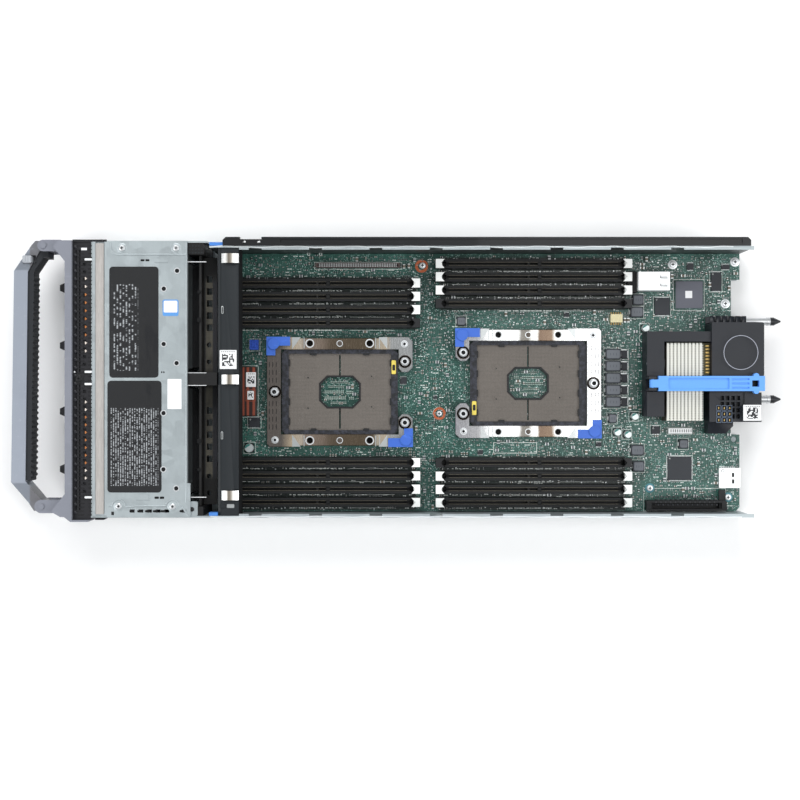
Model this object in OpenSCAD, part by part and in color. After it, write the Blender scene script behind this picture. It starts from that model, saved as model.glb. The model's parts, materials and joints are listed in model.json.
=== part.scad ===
// Half-height blade server, lying on its side with the lid off.
// +X runs from the front handle to the rear connectors, +Z is up, the origin is under the middle.

/* [Overall] */
// Depth, from the front of the handle to the tips of the guide pins
server_l = 544.3; // [544.3:0.1:680]
// Width, over the guide rail and the foot of the bezel
server_w = 197.9; // [197.9:0.1:240]
// Thickness, which is the height of the bezel
server_h = 50.3; // [46:0.1:62]

/* [Base pan] */
// Sheet thickness of the pan and the cage
sheet_t = 1.2; // [0.8:0.1:1.6]
// Height of the side walls
wall_h = 46.8; // [42:0.1:48]
// Width of the flange along the top of each wall
flange_w = 2.6; // [2:0.1:4]
// Thickness of the guide rail, measured across the server
rail_w = 5.9; // [4.5:0.1:6.5]
// Height of the guide rail
rail_h = 24; // [16:1:30]
// How far the side walls stand back from the full width
wall_inset = 2.7; // [2:0.1:4]
// How far the guide pins reach past the walls
pin_reach = 25.6; // [22:0.1:30]

/* [Bezel and handle] */
// Depth of the handle in front of the bezel plate
handle_reach = 39.65; // [36:0.05:48]
// Thickness of the bezel plate
bezel_t = 4.8; // [3:0.1:6]
// Depth of the black vent frame behind the bezel
vent_l = 12.7; // [10:0.1:16]
// Height of the handle bar
handle_h = 17; // [14:0.1:19]
// Height of the middle of the handle above the base
handle_z = 33; // [32:0.1:35]
// Thickness of the handle's outer metal bar
handle_bar_t = 9.4; // [8:0.1:11]
// Thickness of the scalloped grip inside the bar
grip_t = 4.6; // [3.5:0.1:6]
// Spacing of the scallops of the grip
scallop_pitch = 3.9; // [3:0.1:6]
// Radius of the handle's hinge pin
hinge_r = 2.2; // [1.8:0.1:2.6]

/* [Drives] */
// Width of a drive carrier
drive_w = 73; // [70:0.1:76]
// Height of a drive carrier
drive_h = 16.6; // [15:0.1:17.5]
// Distance of each drive's middle line from the bezel's middle line
drive_offset = 44.2; // [43:0.1:48]
// Depth of the drive cage behind the vent frame
cage_l = 67; // [60:0.5:80]
// Gap between a drive and its bay on each side
drive_gap = 0.6; // [0.3:0.1:1]

/* [System board] */
// Thickness of the system board
board_t = 2.4; // [1.6:0.1:3]
// Height of the standoffs under the board
standoff_h = 6; // [5:0.1:8]
// Radius of a standoff
standoff_r = 3; // [2.5:0.1:4]

/* [Memory sockets] */
// Length of a memory socket
dimm_l = 140.4; // [138:0.1:142]
// Width of a memory socket
dimm_w = 6.4; // [5.6:0.1:7]
// Height of a memory socket
dimm_h = 8.4; // [7:0.1:10]
// Spacing of neighbouring sockets
dimm_pitch = 9.5; // [8.8:0.1:10.5]
// Gap between the front and the rear sockets
dimm_gap = 11.2; // [10:0.1:16]
// Width of the slot that takes a module
slot_w = 1.5; // [1.3:0.05:1.8]
// Radius of a latch's pivot
latch_pin_r = 0.8; // [0.6:0.05:1]
// Radial clearance of every pivot in its bore
pin_clear = 0.05; // [0.02:0.01:0.09]

/* [Processor sockets] */
// Length of a bolster plate
bolster_l = 105.2; // [100:0.1:112]
// Width of a bolster plate
bolster_w = 79.2; // [76:0.1:84]
// Length of the field of contacts
field_l = 73.6; // [70:0.1:76]
// Width of the field of contacts
field_w = 55; // [52:0.1:58]
// Height of the bolster above the board
bolster_h = 6; // [5:0.1:8]

/* [Rear connectors] */
// Height of the rear housing above the base
housing_h = 32; // [28:0.1:34]
// Width of the blue retention latch
retain_w = 10.6; // [9:0.1:12]
// Thickness of the blue retention latch
retain_t = 4.2; // [3.4:0.1:5]
// Radius of a guide pin
guide_r = 2.6; // [2:0.05:3]
// Height of the guide pins above the base
guide_z = 20; // [16:0.1:24]

/* [Hidden] */
$fn = 32;
bite = 0.5;
air = 0.3;

// Places along the server
front_x = -server_l / 2;
rear_x = server_l / 2;
side_y = server_w / 2;
bezel_x = front_x + handle_reach;
vent_x = bezel_x + bezel_t;
pan_x0 = vent_x + vent_l;
pan_x1 = rear_x - pin_reach;
floor_x1 = pan_x1 - 8;
cage_x1 = pan_x0 + cage_l;
bar_x0 = cage_x1 + 21.1;
bar_x1 = bar_x0 + 14.6;
board_x0 = bar_x0 - 0.4;

// Places across the server: the wall steps in behind the cage to make room for the guide rail
wall_y0 = -side_y + wall_inset;
wall_y1 = side_y - wall_inset;
wall_y2 = side_y - rail_w - 0.2;
step_x = cage_x1 + 14;
mid_y = 1;
// Notch in the rear edge of the floor and the board
notch_y0 = -39.4;
notch_y1 = side_y - 26.4;
notch_l = 7.4;

// Levels
board_z = sheet_t + standoff_h;
top_z = board_z + board_t;
dimm_z = top_z + dimm_h;
cover_z = wall_h;

// Memory sockets: four groups of four, front pair and rear pair
dimm_front_x = board_x0 + 1.3;
dimm_rear_x = dimm_front_x + dimm_l + dimm_gap;
GROUPS = [[dimm_front_x, 55], [dimm_front_x, -73.4], [dimm_rear_x, 69], [dimm_rear_x, -73.6]];
rows = 4;
latch_l = 6.2;
latch_pivot_in = 3;
latch_pivot_z = top_z + 2.9;
cheek_l = 7.6;
cheek_h = 6.2;
pocket_w = 3.4;
pocket_z = 0.7;
latch_arm_w = 2.8;
pad_t = 2.6;
pad_z = dimm_z + 0.2;
LATCHES = [for (g = [0:3], i = [0:rows - 1], e = [0:1]) if (g > 1 || e == 1) [g, i, e]];
function two(n) = n < 10 ? str("0", n) : str(n);
function row_y(g, i) = GROUPS[g][1] + ((rows - 1) / 2 - i) * dimm_pitch;

// Processor sockets: the rear one is turned half round
cpu_1 = [board_x0 + 84, -8.6, 0];
cpu_2 = [board_x0 + 219.5, -2.4, 180];
CPUS = [cpu_1, cpu_2];
corner_screw = [46.5, 34.5];
nut_spots = [[-46.8, 0], [46.8, 21.8], [46.8, -22]];
rail_hole_x = 21.5;
rail_hole_y = 34.8;

// Drives
DRIVE_Y = [mid_y + drive_offset, mid_y - drive_offset];
bay_w = drive_w + 2 * drive_gap;
bay_z = 4;
bay_h = drive_h + 2 * drive_gap;
drive_x0 = bezel_x - 2;
drive_x1 = cage_x1 + 6.6;

// Handle: hinge at the -Y end, latch pin at the +Y end
hinge_x = front_x + 22;
hinge_y = -side_y + 10.3;
catch_y = side_y - 5.6;
catch_x = hinge_x + 1.4;
handle_z0 = handle_z - handle_h / 2;
handle_z1 = handle_z + handle_h / 2;
ear_t = 3.6;
lean = 2.1;

// Rear assembly
io_x = pan_x1 - 27;
riser_x = pan_x1 - 71.6;
fin_x = pan_x1 - 58.6;
fin_y0 = -29.2;
fin_y1 = 26.2;
retain_y = -2.8;
retain_z = housing_h + air;
retain_hinge_x = riser_x + 3;
retain_x1 = io_x + 37.2;
retain_hinge_z = retain_z + retain_t / 2;
retain_pin_r = 1.2;
ear_reach = 2.6;
pin_root_x = io_x + 25;
GUIDE_Y = [41.7, -13.9];

// ---------- shapes that repeat ----------

// A box between two corners
module block(a, b) {
    translate(a) cube(b - a);
}

// A flat plate with rounded corners, from a low corner to a high one
module slab(a, b, r) {
    size = b - a;
    translate([a.x, a.y, a.z]) linear_extrude(size.z) {
        translate([r, 0]) square([size.x - 2 * r, size.y]);
        translate([0, r]) square([size.x, size.y - 2 * r]);
        for (x = [r, size.x - r], y = [r, size.y - r]) translate([x, y]) circle(r);
    }
}

// A screw head with a crossed recess, standing on z = 0
module screw_head(r, h) {
    difference() {
        cylinder(r = r, h = h);
        for (a = [45, 135]) rotate(a) translate([-r * 0.65, -r * 0.13, h * 0.4])
            cube([r * 1.3, r * 0.26, h]);
    }
}

// A round nut with a threaded bore, standing on z = 0
module captive_nut(r, h, bore_r) {
    rotate_extrude() {
        polygon([[bore_r, 0], [r, 0], [r, h * 0.4], [r * 0.72, h * 0.4], [r * 0.72, h * 0.9],
                 [r * 0.64, h], [bore_r, h]]);
    }
}

// ---------- chassis ----------

// Places of the standoffs, under the screws of the board
STANDOFFS = [[board_x0 + 6, 84], [board_x0 + 6, -44], [board_x0 + 143.5, 82.3], [board_x0 + 156, -24.2],
             [board_x0 + 72, 68], [pan_x1 - 49.5, 83.5], [pan_x1 - 4.6, 85.3], [pan_x1 - 11.5, 55.2],
             [pan_x1 - 66, -78], [pan_x1 - 9.6, -84.6]];
// Notches in the wall flanges, where the lid hooks in
NOTCH_X = [for (i = [0:7]) board_x0 + 22 + 42 * i];
hook_slot_l = 9;

module pan_outline(inset) {
    polygon([[pan_x0, wall_y0 + inset], [pan_x1, wall_y0 + inset], [pan_x1, wall_y2 - inset],
             [step_x + inset, wall_y2 - inset], [step_x + inset, wall_y1 - inset],
             [pan_x0, wall_y1 - inset]]);
}

module base_pan() {
    color("silver") difference() {
        union() {
            difference() {
                linear_extrude(wall_h) pan_outline(0);
                translate([0, 0, sheet_t]) linear_extrude(wall_h) pan_outline(sheet_t);
                block([pan_x1 - sheet_t, wall_y0 + sheet_t, -bite],
                      [pan_x1 + bite, wall_y2 - sheet_t, server_h]);
                block([pan_x0 - bite, wall_y0 + sheet_t, sheet_t],
                      [pan_x0 + sheet_t, wall_y1 - sheet_t, server_h]);
                block([floor_x1, notch_y0, -bite], [pan_x1, notch_y1, sheet_t + bite]);
            }
            // Flanges turned in along the top of both walls, behind the bar over the sockets
            block([bar_x1 + air, wall_y0, wall_h - sheet_t], [pan_x1, wall_y0 + flange_w, wall_h]);
            block([bar_x1 + air, wall_y2 - flange_w, wall_h - sheet_t], [pan_x1, wall_y2, wall_h]);
        }
        for (x = NOTCH_X, side = [0, 1]) {
            y = side == 0 ? wall_y0 + sheet_t : wall_y2 - flange_w - bite;
            block([x, y, wall_h - 2 * sheet_t],
                  [x + hook_slot_l, y + flange_w + bite - sheet_t, wall_h + bite]);
        }
        block([hook_x - air, wall_y0 - bite, hook_z - hook_h / 2 - air],
              [hook_x + hook_l + air, wall_y0 + sheet_t + bite, hook_z + hook_h / 2 + air]);
        // Drain and cable holes in the floor
        for (x = [pan_x0 + 22, cage_x1 - 18, board_x0 + 112, pan_x1 - 90], y = [-60, 50])
            translate([x, y, -bite]) cylinder(r = 3.2, h = sheet_t + 2 * bite);
    }
}

// Length of the rail's stepped front end
rail_x0 = bar_x0 + 3.6;
rail_x1 = pan_x1 - 2.5;

module guide_rail() {
    rail_z1 = wall_h + 1.4;
    color([0.13, 0.13, 0.14]) difference() {
        block([rail_x0, wall_y2, rail_z1 - rail_h], [rail_x1, side_y, rail_z1]);
        // Channel that runs on the enclosure's track
        block([rail_x0 - bite, wall_y2 + 2.4, rail_z1 - rail_h + 3.5],
              [rail_x1 + bite, side_y + bite, rail_z1 - 4]);
        // Groove along the top
        block([rail_x0 + 40, wall_y2 + 1.6, rail_z1 - 0.8], [rail_x1 - 6, side_y - 1.4, rail_z1 + bite]);
        // Lead-in at each end and the dip with two fixing holes
        block([rail_x0 + 12, side_y - 1.6, rail_z1 - rail_h - bite],
              [rail_x0 + 27, side_y + bite, rail_z1 + bite]);
        for (x = [rail_x0 + 15, rail_x0 + 25]) translate([x, side_y - 3.4, rail_z1 - 4 - bite])
            cylinder(r = 1.2, h = 5);
        for (x = [rail_x0, rail_x1]) translate([x, side_y, rail_z1 - rail_h - bite]) rotate(45)
            translate([-1.5, -1.5, 0]) cube([3, 3, rail_h + 2 * bite]);
    }
}

// Plan of the bezel: a plate with a swept end cap at each side and a foot behind the lower one
module bezel_plan() {
    polygon([[bezel_x, -side_y + 19.2], [bezel_x - 8.8, -side_y + 8.2], [bezel_x - 8.8, -side_y + 6.6],
             [bezel_x - 3.2, -side_y + 3.4], [bezel_x - 0.6, -side_y + 3.4], [vent_x - 1, -side_y],
             [vent_x + 11.4, -side_y], [vent_x + 11.4, -side_y + 1.2], [vent_x, -side_y + 1.2],
             [vent_x, side_y - 2.6], [bezel_x - 4.2, side_y - 2.6], [bezel_x - 7.8, side_y - 6.2],
             [bezel_x - 7.8, side_y - 7.4], [bezel_x, side_y - 17]]);
}

// One pair of ears that carries a pin, above and below the handle
module ear_pair(x, y, r) {
    for (z = [handle_z0 - air - ear_t, handle_z1 + air]) {
        translate([x, y, z]) cylinder(r = r, h = ear_t);
        block([x, y - r, z], [bezel_x - 4, y + r, z + ear_t]);
    }
    translate([x, y, handle_z0 - air - ear_t]) cylinder(r = hinge_r, h = handle_h + 2 * (air + ear_t) + 0.8);
}

module bay_window(grow) {
    for (y = DRIVE_Y) block([bezel_x - 12, y - bay_w / 2 - grow, bay_z - grow],
                            [pan_x0 + bite, y + bay_w / 2 + grow, bay_z + bay_h + grow]);
}

// Side latch that hooks into the enclosure, through a window in the -Y wall
hook_x = pan_x0 + 1.6;
hook_l = 9;
hook_z = 37;
hook_h = 8;

// Height and number of the air slots above the drives
air_z0 = bay_z + bay_h + 4.6;
air_z1 = server_h - 4.4;
air_slots = 14;

module front_bezel() {
    color([0.5, 0.51, 0.53]) difference() {
        union() {
            difference() {
                linear_extrude(server_h) bezel_plan();
                // The corner is cut away above and below the ears, where the handle passes
                block([bezel_x - 12, hinge_y - 12, handle_z0 - air],
                      [bezel_x - 3.4, hinge_y + 12, handle_z1 + air]);
                block([bezel_x - 12, catch_y - 12, handle_z0 - air],
                      [bezel_x - 3.4, catch_y + 8, handle_z1 + air]);
            }
            ear_pair(hinge_x, hinge_y, 4.6);
            ear_pair(catch_x, catch_y, 4);
        }
        bay_window(0);
        // Air slots above each drive
        for (y = DRIVE_Y, i = [0:air_slots - 1]) {
            pitch = bay_w / air_slots;
            y0 = y - bay_w / 2 + (i + 0.2) * pitch;
            block([bezel_x - bite, y0, air_z0], [vent_x + bite, y0 + pitch * 0.6, air_z1]);
        }
        // Seat of the power button
        translate([bezel_x - bite, mid_y, button_z]) rotate([0, 90, 0])
            cylinder(r = button_r + 0.25, h = bezel_t + 2 * bite);
    }
}

button_z = 13;
button_r = 3;

module power_button() {
    color([0.6, 0.61, 0.63]) {
        translate([bezel_x - 2.6, mid_y, button_z]) rotate([0, 90, 0])
            cylinder(r = button_r, h = bezel_t + 2.6 - 0.4);
        translate([vent_x + air, mid_y, button_z]) rotate([0, 90, 0]) cylinder(r = button_r + 1, h = 1);
        translate([vent_x - 1, mid_y, button_z]) rotate([0, 90, 0]) cylinder(r = button_r - 0.6, h = 1.6);
    }
}

module vent_frame() {
    contact_pitch = 5.35;
    color([0.1, 0.1, 0.11]) difference() {
        union() {
            block([vent_x, -side_y + 1.2, 0], [pan_x0, side_y - 1.8, wall_h]);
            block([vent_x, side_y - 3.4, wall_h], [pan_x0 + 11, side_y - 1.8, wall_h + 0.9]);
        }
        bay_window(0);
        // Air passage above each drive
        for (y = DRIVE_Y) block([vent_x - bite, y - bay_w / 2, air_z0],
                                [pan_x0 + bite, y + bay_w / 2, wall_h - 5]);
        // Room behind the power button
        translate([vent_x - bite, mid_y, button_z]) rotate([0, 90, 0]) cylinder(r = button_r + 1.4, h = 5);
        // Row of contact windows along the top, over each drive
        for (y = DRIVE_Y, i = [-6.5:6.5]) block([vent_x + 7, y + i * contact_pitch - 1.1, wall_h - 1.2],
                                                [vent_x + 9.4, y + i * contact_pitch + 1.1, wall_h + bite]);
        // Long grooves on the top
        for (x = [vent_x + 2, vent_x + 4.4])
            block([x, -side_y + 8, wall_h - 1], [x + 1, side_y - 9, wall_h + bite]);
    }
}

// ---------- drive cage ----------

module drive_cage() {
    color([0.7, 0.72, 0.74]) {
        for (y = DRIVE_Y) {
            // Bay: two side plates of full height, a floor and a ceiling
            for (s = [-1, 1]) {
                y0 = y + s * (bay_w / 2 + sheet_t / 2) - sheet_t / 2;
                block([pan_x0, y0, sheet_t], [cage_x1 - sheet_t - air, y0 + sheet_t, cover_z - sheet_t]);
            }
            block([pan_x0, y - bay_w / 2, bay_z - sheet_t], [cage_x1, y + bay_w / 2, bay_z]);
            block([pan_x0, y - bay_w / 2, bay_z + bay_h], [cage_x1, y + bay_w / 2, bay_z + bay_h + sheet_t]);
        }
        // Flange across the front that carries the gasket
        block([pan_x0 + 0.2, wall_y0 + sheet_t, cover_z - sheet_t],
              [cover_x0, wall_y1 - sheet_t, cover_z]);
    }
}

COVER_SCREWS = [[10.8, side_y - 7.7], [48.5, side_y - 7.7], [8.5, -side_y + 10.7], [46, -side_y + 10.4]];
COVER_HOLES = [[49, side_y - 23.5], [40, side_y - 36], [40, 24.5], [49, 11.2], [40, -23.5], [40, -62.6],
               [48.6, -75.8]];
cover_x0 = pan_x0 + 11.2;
cover_x1 = cage_x1;

module cage_cover() {
    color([0.72, 0.75, 0.77]) difference() {
        union() {
            block([cover_x0, wall_y0 + 0.5, cover_z], [cover_x1, wall_y1, cover_z + sheet_t]);
            block([cover_x1, wall_y0 + 0.5, cover_z], [cover_x1 + 2.3, wall_y0 + 24, cover_z + sheet_t]);
            // Lip turned down at the back edge
            block([cover_x1 - sheet_t, wall_y0 + 1.6 * sheet_t, cover_z - 4],
                  [cover_x1, wall_y1 - 1.6 * sheet_t, cover_z]);
            // Embossed pads
            for (p = [[33, side_y - 17.6], [20, -side_y + 15.5]])
                slab([cover_x0 + p.x, p.y, cover_z + sheet_t],
                     [cover_x0 + p.x + 9, p.y + 3.6, cover_z + sheet_t + 0.4], 0.8);
        }
        for (p = COVER_HOLES) translate([cover_x0 + p.x, p.y, cover_z - 1])
            cylinder(r = 1.6, h = 2 + 2 * sheet_t);
        for (p = COVER_SCREWS) translate([cover_x0 + p.x, p.y, cover_z - 1])
            cylinder(r = 1.7, h = 2 + 2 * sheet_t);
        // Row of slots near the -Y edge
        for (x = [16, 22, 28, 34, 40, 52]) block([cover_x0 + x, wall_y0 + 3.6, cover_z - bite],
                                                 [cover_x0 + x + 3.4, wall_y0 + 5.8, cover_z + sheet_t + bite]);
    }
}

module seal_gasket() {
    color([0.62, 0.62, 0.6]) slab([pan_x0 + 3.5, wall_y0 + 2.6, cover_z],
                                  [pan_x0 + 9.2, wall_y1 - 1.8, cover_z + 2.6], 1.2);
}

BOARD_SCREWS = [for (i = [0, 5, 6, 7, 8, 9]) STANDOFFS[i]];

module fasteners() {
    color([0.8, 0.8, 0.8]) {
        // Countersunk-looking pan heads on the cage cover
        for (p = COVER_SCREWS) translate([cover_x0 + p.x, p.y, cover_z + sheet_t]) screw_head(2.7, 0.9);
        for (p = COVER_SCREWS) translate([cover_x0 + p.x, p.y, cover_z - 2]) cylinder(r = 1.5, h = 2 + sheet_t);
        // Thumb screw in the middle of the vent frame
        translate([vent_x + 1.4 + 2.8, mid_y - 0.5, wall_h]) screw_head(2.8, 1.4);
        for (p = BOARD_SCREWS) translate([p.x, p.y, top_z]) screw_head(2.9, 1.5);
        // Standoffs pressed into the floor
        for (p = STANDOFFS) translate([p.x, p.y, sheet_t]) cylinder(r = standoff_r, h = standoff_h);
        // Nuts, rivets and corner screws on both bolsters
        for (c = CPUS) translate([c.x, c.y, top_z + bolster_h]) rotate(c.z) {
            for (p = nut_spots) translate([p.x, p.y, 0]) captive_nut(3.7, 4, 1.25);
            for (s = [-1, 1]) translate([0, s * rail_hole_y, 0]) cylinder(r = 2.3, h = 0.6);
            translate([-corner_screw.x, -corner_screw.y, 0]) screw_head(2.6, 1.2);
            translate([corner_screw.x, corner_screw.y, 0]) screw_head(2.6, 1.2);
        }
    }
}

// ---------- between the cage and the board ----------

module corner_blocks() {
    block_x1 = cage_x1 + 11.6;
    color([0.12, 0.12, 0.13]) {
        block([cage_x1 + 0.3, side_y - 12, sheet_t], [block_x1, wall_y1 - sheet_t, cover_z - 0.5]);
        block([cage_x1 + 2.6, wall_y0 + sheet_t, sheet_t], [block_x1 - 0.6, -side_y + 10.2, cover_z - 0.5]);
        // Bracket between the two bays
        difference() {
            block([cage_x1 + 0.3, mid_y - 5.2, sheet_t], [board_x0 - 0.2, mid_y + 3.8, cover_z - 0.5]);
            block([cage_x1 - bite, mid_y - 4, 24], [bar_x0 + bite, mid_y + 2.6, cover_z - 2]);
        }
    }
}

plane_x = cage_x1 + 7;
plane_t = 1.6;

module backplane() {
    color([0.36, 0.34, 0.3]) for (k = [0, 1]) {
        y0 = k == 0 ? mid_y + 3.8 : -side_y + 10.4;
        y1 = k == 0 ? side_y - 12 : mid_y - 5.2;
        // Upright board at the end of each bay
        block([plane_x, y0, sheet_t], [plane_x + plane_t, y1, 38]);
        // Shelf with fixing holes
        difference() {
            block([plane_x + plane_t, y0, 23], [bar_x0 - 3.4, y1, 24.2]);
            for (s = [0, 1]) translate([plane_x + 5, s == 0 ? y0 + 8 : y0 + 20, 22]) cylinder(r = 1.7, h = 4);
            for (i = [0:4]) block([plane_x + 3.4, y0 + 30 + 8.6 * i, 22],
                                  [plane_x + 7.4, y0 + 34.6 + 8.6 * i, 25]);
        }
    }
}

// Bar over the front ends of the sockets, and the spring clips that ground it to the lid
CLIP_Y = [84.3, mid_y - 1.1, -80.8];
clip_w = 6.6;
bar_z0 = 24;

module front_bar() {
    color([0.16, 0.17, 0.19]) difference() {
        block([bar_x0, wall_y0 + sheet_t, bar_z0], [bar_x1, wall_y2 - sheet_t, cover_z - 1]);
        block([bar_x0 + 1.6, wall_y0 + 2 * sheet_t, bar_z0 - bite],
              [bar_x1 - 1.6, wall_y2 - 2 * sheet_t, cover_z - 3]);
        // Step along the top and shallow pockets under the clips
        block([bar_x0 - bite, wall_y0, cover_z - 2], [bar_x0 + 2, wall_y2, cover_z]);
        for (y = CLIP_Y) block([bar_x1 - 3, y - clip_w / 2 - 0.6, cover_z - 1.8],
                               [bar_x1 + bite, y + clip_w / 2 + 0.6, cover_z]);
    }
}

module spring_clips() {
    color([0.85, 0.85, 0.83]) for (y = CLIP_Y) translate([0, y + clip_w / 2, 0]) rotate([90, 0, 0])
        linear_extrude(clip_w) translate([bar_x0 + 2.9, cover_z - 1]) difference() {
            // A bowed leaf, flat where it is fixed
            union() {
                square([11.7 - 2.9, 0.5]);
                translate([5, -6.4]) intersection() {
                    circle(r = 9, $fn = 96);
                    translate([-3.6, 6.4]) square([7.2, 4]);
                }
            }
            translate([5, -6.4]) intersection() {
                circle(r = 8.5, $fn = 96);
                translate([-3.2, 6.9]) square([6.4, 4]);
            }
        }
}

// ---------- system board ----------

module board_plan() {
    polygon([[board_x0, wall_y0 + sheet_t + air], [pan_x1 - 4, wall_y0 + sheet_t + air],
             [pan_x1 - sheet_t, wall_y0 + sheet_t + 3], [pan_x1 - sheet_t, notch_y0],
             [pan_x1 - notch_l, notch_y0], [pan_x1 - notch_l, notch_y1],
             [pan_x1 - sheet_t, notch_y1], [pan_x1 - sheet_t, wall_y2 - sheet_t - air],
             [board_x0, wall_y2 - sheet_t - air]]);
}

module system_board() {
    color([0.12, 0.32, 0.26]) translate([0, 0, board_z]) difference() {
        linear_extrude(board_t) board_plan();
        // Round cut in the lobe beside the notch
        translate([pan_x1 - 5.2, notch_y0 - 3.4, -bite]) cylinder(r = 2, h = board_t + 2 * bite);
    }
}

// Octagonal window in the middle of a contact field
window_l = 27.6;
window_w = 21.4;
window_cut = 5;
frame_l = 83.4;
frame_w = 61.8;
frame_h = 4;
field_h = 2.8;

module octagon(l, w, c) {
    polygon([[-l / 2, -w / 2 + c], [-l / 2 + c, -w / 2], [l / 2 - c, -w / 2], [l / 2, -w / 2 + c],
             [l / 2, w / 2 - c], [l / 2 - c, w / 2], [-l / 2 + c, w / 2], [-l / 2, w / 2 - c]]);
}

module cpu_socket(c) {
    color([0.34, 0.3, 0.27]) translate([c.x, c.y, top_z]) rotate(c.z) {
        // Raised rim with a lowered contact field inside
        linear_extrude(frame_h) difference() {
            octagon(frame_l, frame_w, 3);
            square([field_l, field_w], center = true);
        }
        linear_extrude(field_h) difference() {
            square([field_l, field_w], center = true);
            octagon(window_l, window_w, window_cut);
            for (s = [-1, 1]) translate([-0.6, s * (window_w + field_w) / 4 - (field_w - window_w) / 4 + 1])
                square([1.2, (field_w - window_w) / 2 - 2]);
        }
        // Corner keys of the field
        for (x = [-24.2, 24.2], y = [-11, 11]) translate([x, y, field_h]) cylinder(r = 1, h = 0.4);
    }
}

plate_t = 1.6;
bar_l = 10.4;
rail_w_bolster = 9;

// Flat parts of the bolster, seen from above
module bolster_plan() {
    half_l = bolster_l / 2;
    half_w = bolster_w / 2;
    difference() {
        union() {
            translate([-half_l, -half_w]) square([bar_l, bolster_w]);
            for (s = [-1, 1]) translate([-half_l, s * (half_w - rail_w_bolster / 2) - rail_w_bolster / 2])
                square([bolster_l, rail_w_bolster]);
            translate([half_l - bar_l, -half_w]) square([bar_l, bolster_w]);
        }
        for (x = [-rail_hole_x, rail_hole_x], s = [-1, 1]) translate([x, s * rail_hole_y]) circle(2.3);
        for (x = [-36, 26, 28.6], s = [-1, 1]) translate([x, s * (half_w - 4.6) - 3]) square([1.4, 6]);
        // Cut-back of the right-hand leg between its two nuts
        translate([half_l - bar_l - bite, -13.6]) square([bar_l - 1.6, 26]);
        translate([-half_l + bar_l - 1.6, -12]) square([2, 24]);
    }
}

module bolster(c) {
    color([0.66, 0.62, 0.57]) translate([c.x, c.y, top_z]) rotate(c.z) {
        translate([0, 0, bolster_h - plate_t]) linear_extrude(plate_t) bolster_plan();
        // Turned-down rims that stand on the board
        difference() {
            translate([-bolster_l / 2, -bolster_w / 2, 0]) cube([bolster_l, bolster_w, bolster_h - plate_t]);
            translate([-bolster_l / 2 + sheet_t, -bolster_w / 2 + sheet_t, -bite])
                cube([bolster_l - 2 * sheet_t, bolster_w - 2 * sheet_t, bolster_h]);
            for (x = [-1, 1], y = [-1, 1]) translate([x * bolster_l * 0.25 - 8, y * bolster_w / 2 - 4, -bite])
                cube([16, 8, bolster_h - plate_t - 1]);
        }
    }
}

// Blue clip round one corner of a bolster
module corner_clip(arm_x, arm_y, w) {
    z1 = bolster_h + 1.4;
    block([0, 0, bolster_h], [arm_x, w, z1]);
    block([0, 0, bolster_h], [w, arm_y, z1]);
    translate([w * 0.8, w * 0.8, bolster_h]) cylinder(r = w * 0.62, h = 2.6);
}

module touch_points() {
    color([0.16, 0.38, 0.78]) {
        block([bar_x0 - 5.9, wall_y2 + 0.2, wall_h - 8], [rail_x0, side_y - 3.4, wall_h - 0.6]);
        block([step_x + 1, wall_y0 + sheet_t, wall_h - 8], [bar_x0, wall_y0 + 3.6, wall_h - 0.4]);
        for (c = CPUS) translate([c.x, c.y, top_z]) rotate(c.z) {
            translate([-bolster_l / 2, bolster_w / 2, 0]) mirror([0, 1, 0]) corner_clip(17, 13.4, 6.4);
            translate([bolster_l / 2, -bolster_w / 2, 0]) mirror([1, 0, 0]) corner_clip(17.8, 13.4, 6.4);
        }
    }
}

// ---------- memory sockets ----------

// One end of a socket: two cheeks with a pivot bore, open at the end and on top
module socket_pocket() {
    translate([-cheek_l, -pocket_w / 2, pocket_z]) cube([cheek_l + bite, pocket_w, dimm_h]);
    translate([-cheek_l + 1, -dimm_w / 2 - bite, cheek_h]) cube([cheek_l, dimm_w + 2 * bite, dimm_h]);
    translate([-latch_pivot_in, dimm_w / 2 + bite, latch_pivot_z - top_z]) rotate([90, 0, 0])
        cylinder(r = latch_pin_r + pin_clear, h = dimm_w + 2 * bite, $fn = 24);
}

module dimm_socket(latch_front) {
    key_x = dimm_l * 0.47;
    difference() {
        translate([0, -dimm_w / 2, 0]) cube([dimm_l, dimm_w, dimm_h]);
        difference() {
            translate([cheek_l, -slot_w / 2, 2]) cube([dimm_l - 2 * cheek_l, slot_w, dimm_h]);
            translate([key_x, -dimm_w / 2, 0]) cube([1.4, dimm_w, dimm_h]);
        }
        // Chamfered lead-in along the slot
        translate([cheek_l, -slot_w, dimm_h - 0.8]) cube([dimm_l - 2 * cheek_l, 2 * slot_w, 1]);
        translate([dimm_l, 0, 0]) socket_pocket();
        if (latch_front) mirror([1, 0, 0]) socket_pocket();
    }
}

module dimm_sockets(first) {
    color([0.1, 0.1, 0.11]) for (g = [first, first + 1], i = [0:rows - 1])
        translate([GROUPS[g][0], row_y(g, i), top_z]) dimm_socket(first > 1);
}

// Latch with its pivot at the origin, leaning on the +X end of a socket
module latch_shape() {
    arm_z0 = -1.3;
    pad_low = pad_z - latch_pivot_z;
    rotate([90, 0, 0]) cylinder(r = latch_pin_r, h = dimm_w, center = true, $fn = 24);
    translate([-1.5, -latch_arm_w / 2, arm_z0]) cube([3, latch_arm_w, pad_low - arm_z0]);
    translate([latch_pivot_in - latch_l, 0, pad_low]) linear_extrude(pad_t)
        polygon([[0, -dimm_w / 2], [latch_l, -dimm_w / 2], [latch_l, dimm_w / 2], [0, dimm_w / 2],
                 [latch_l * 0.45, 0]]);
}

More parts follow.
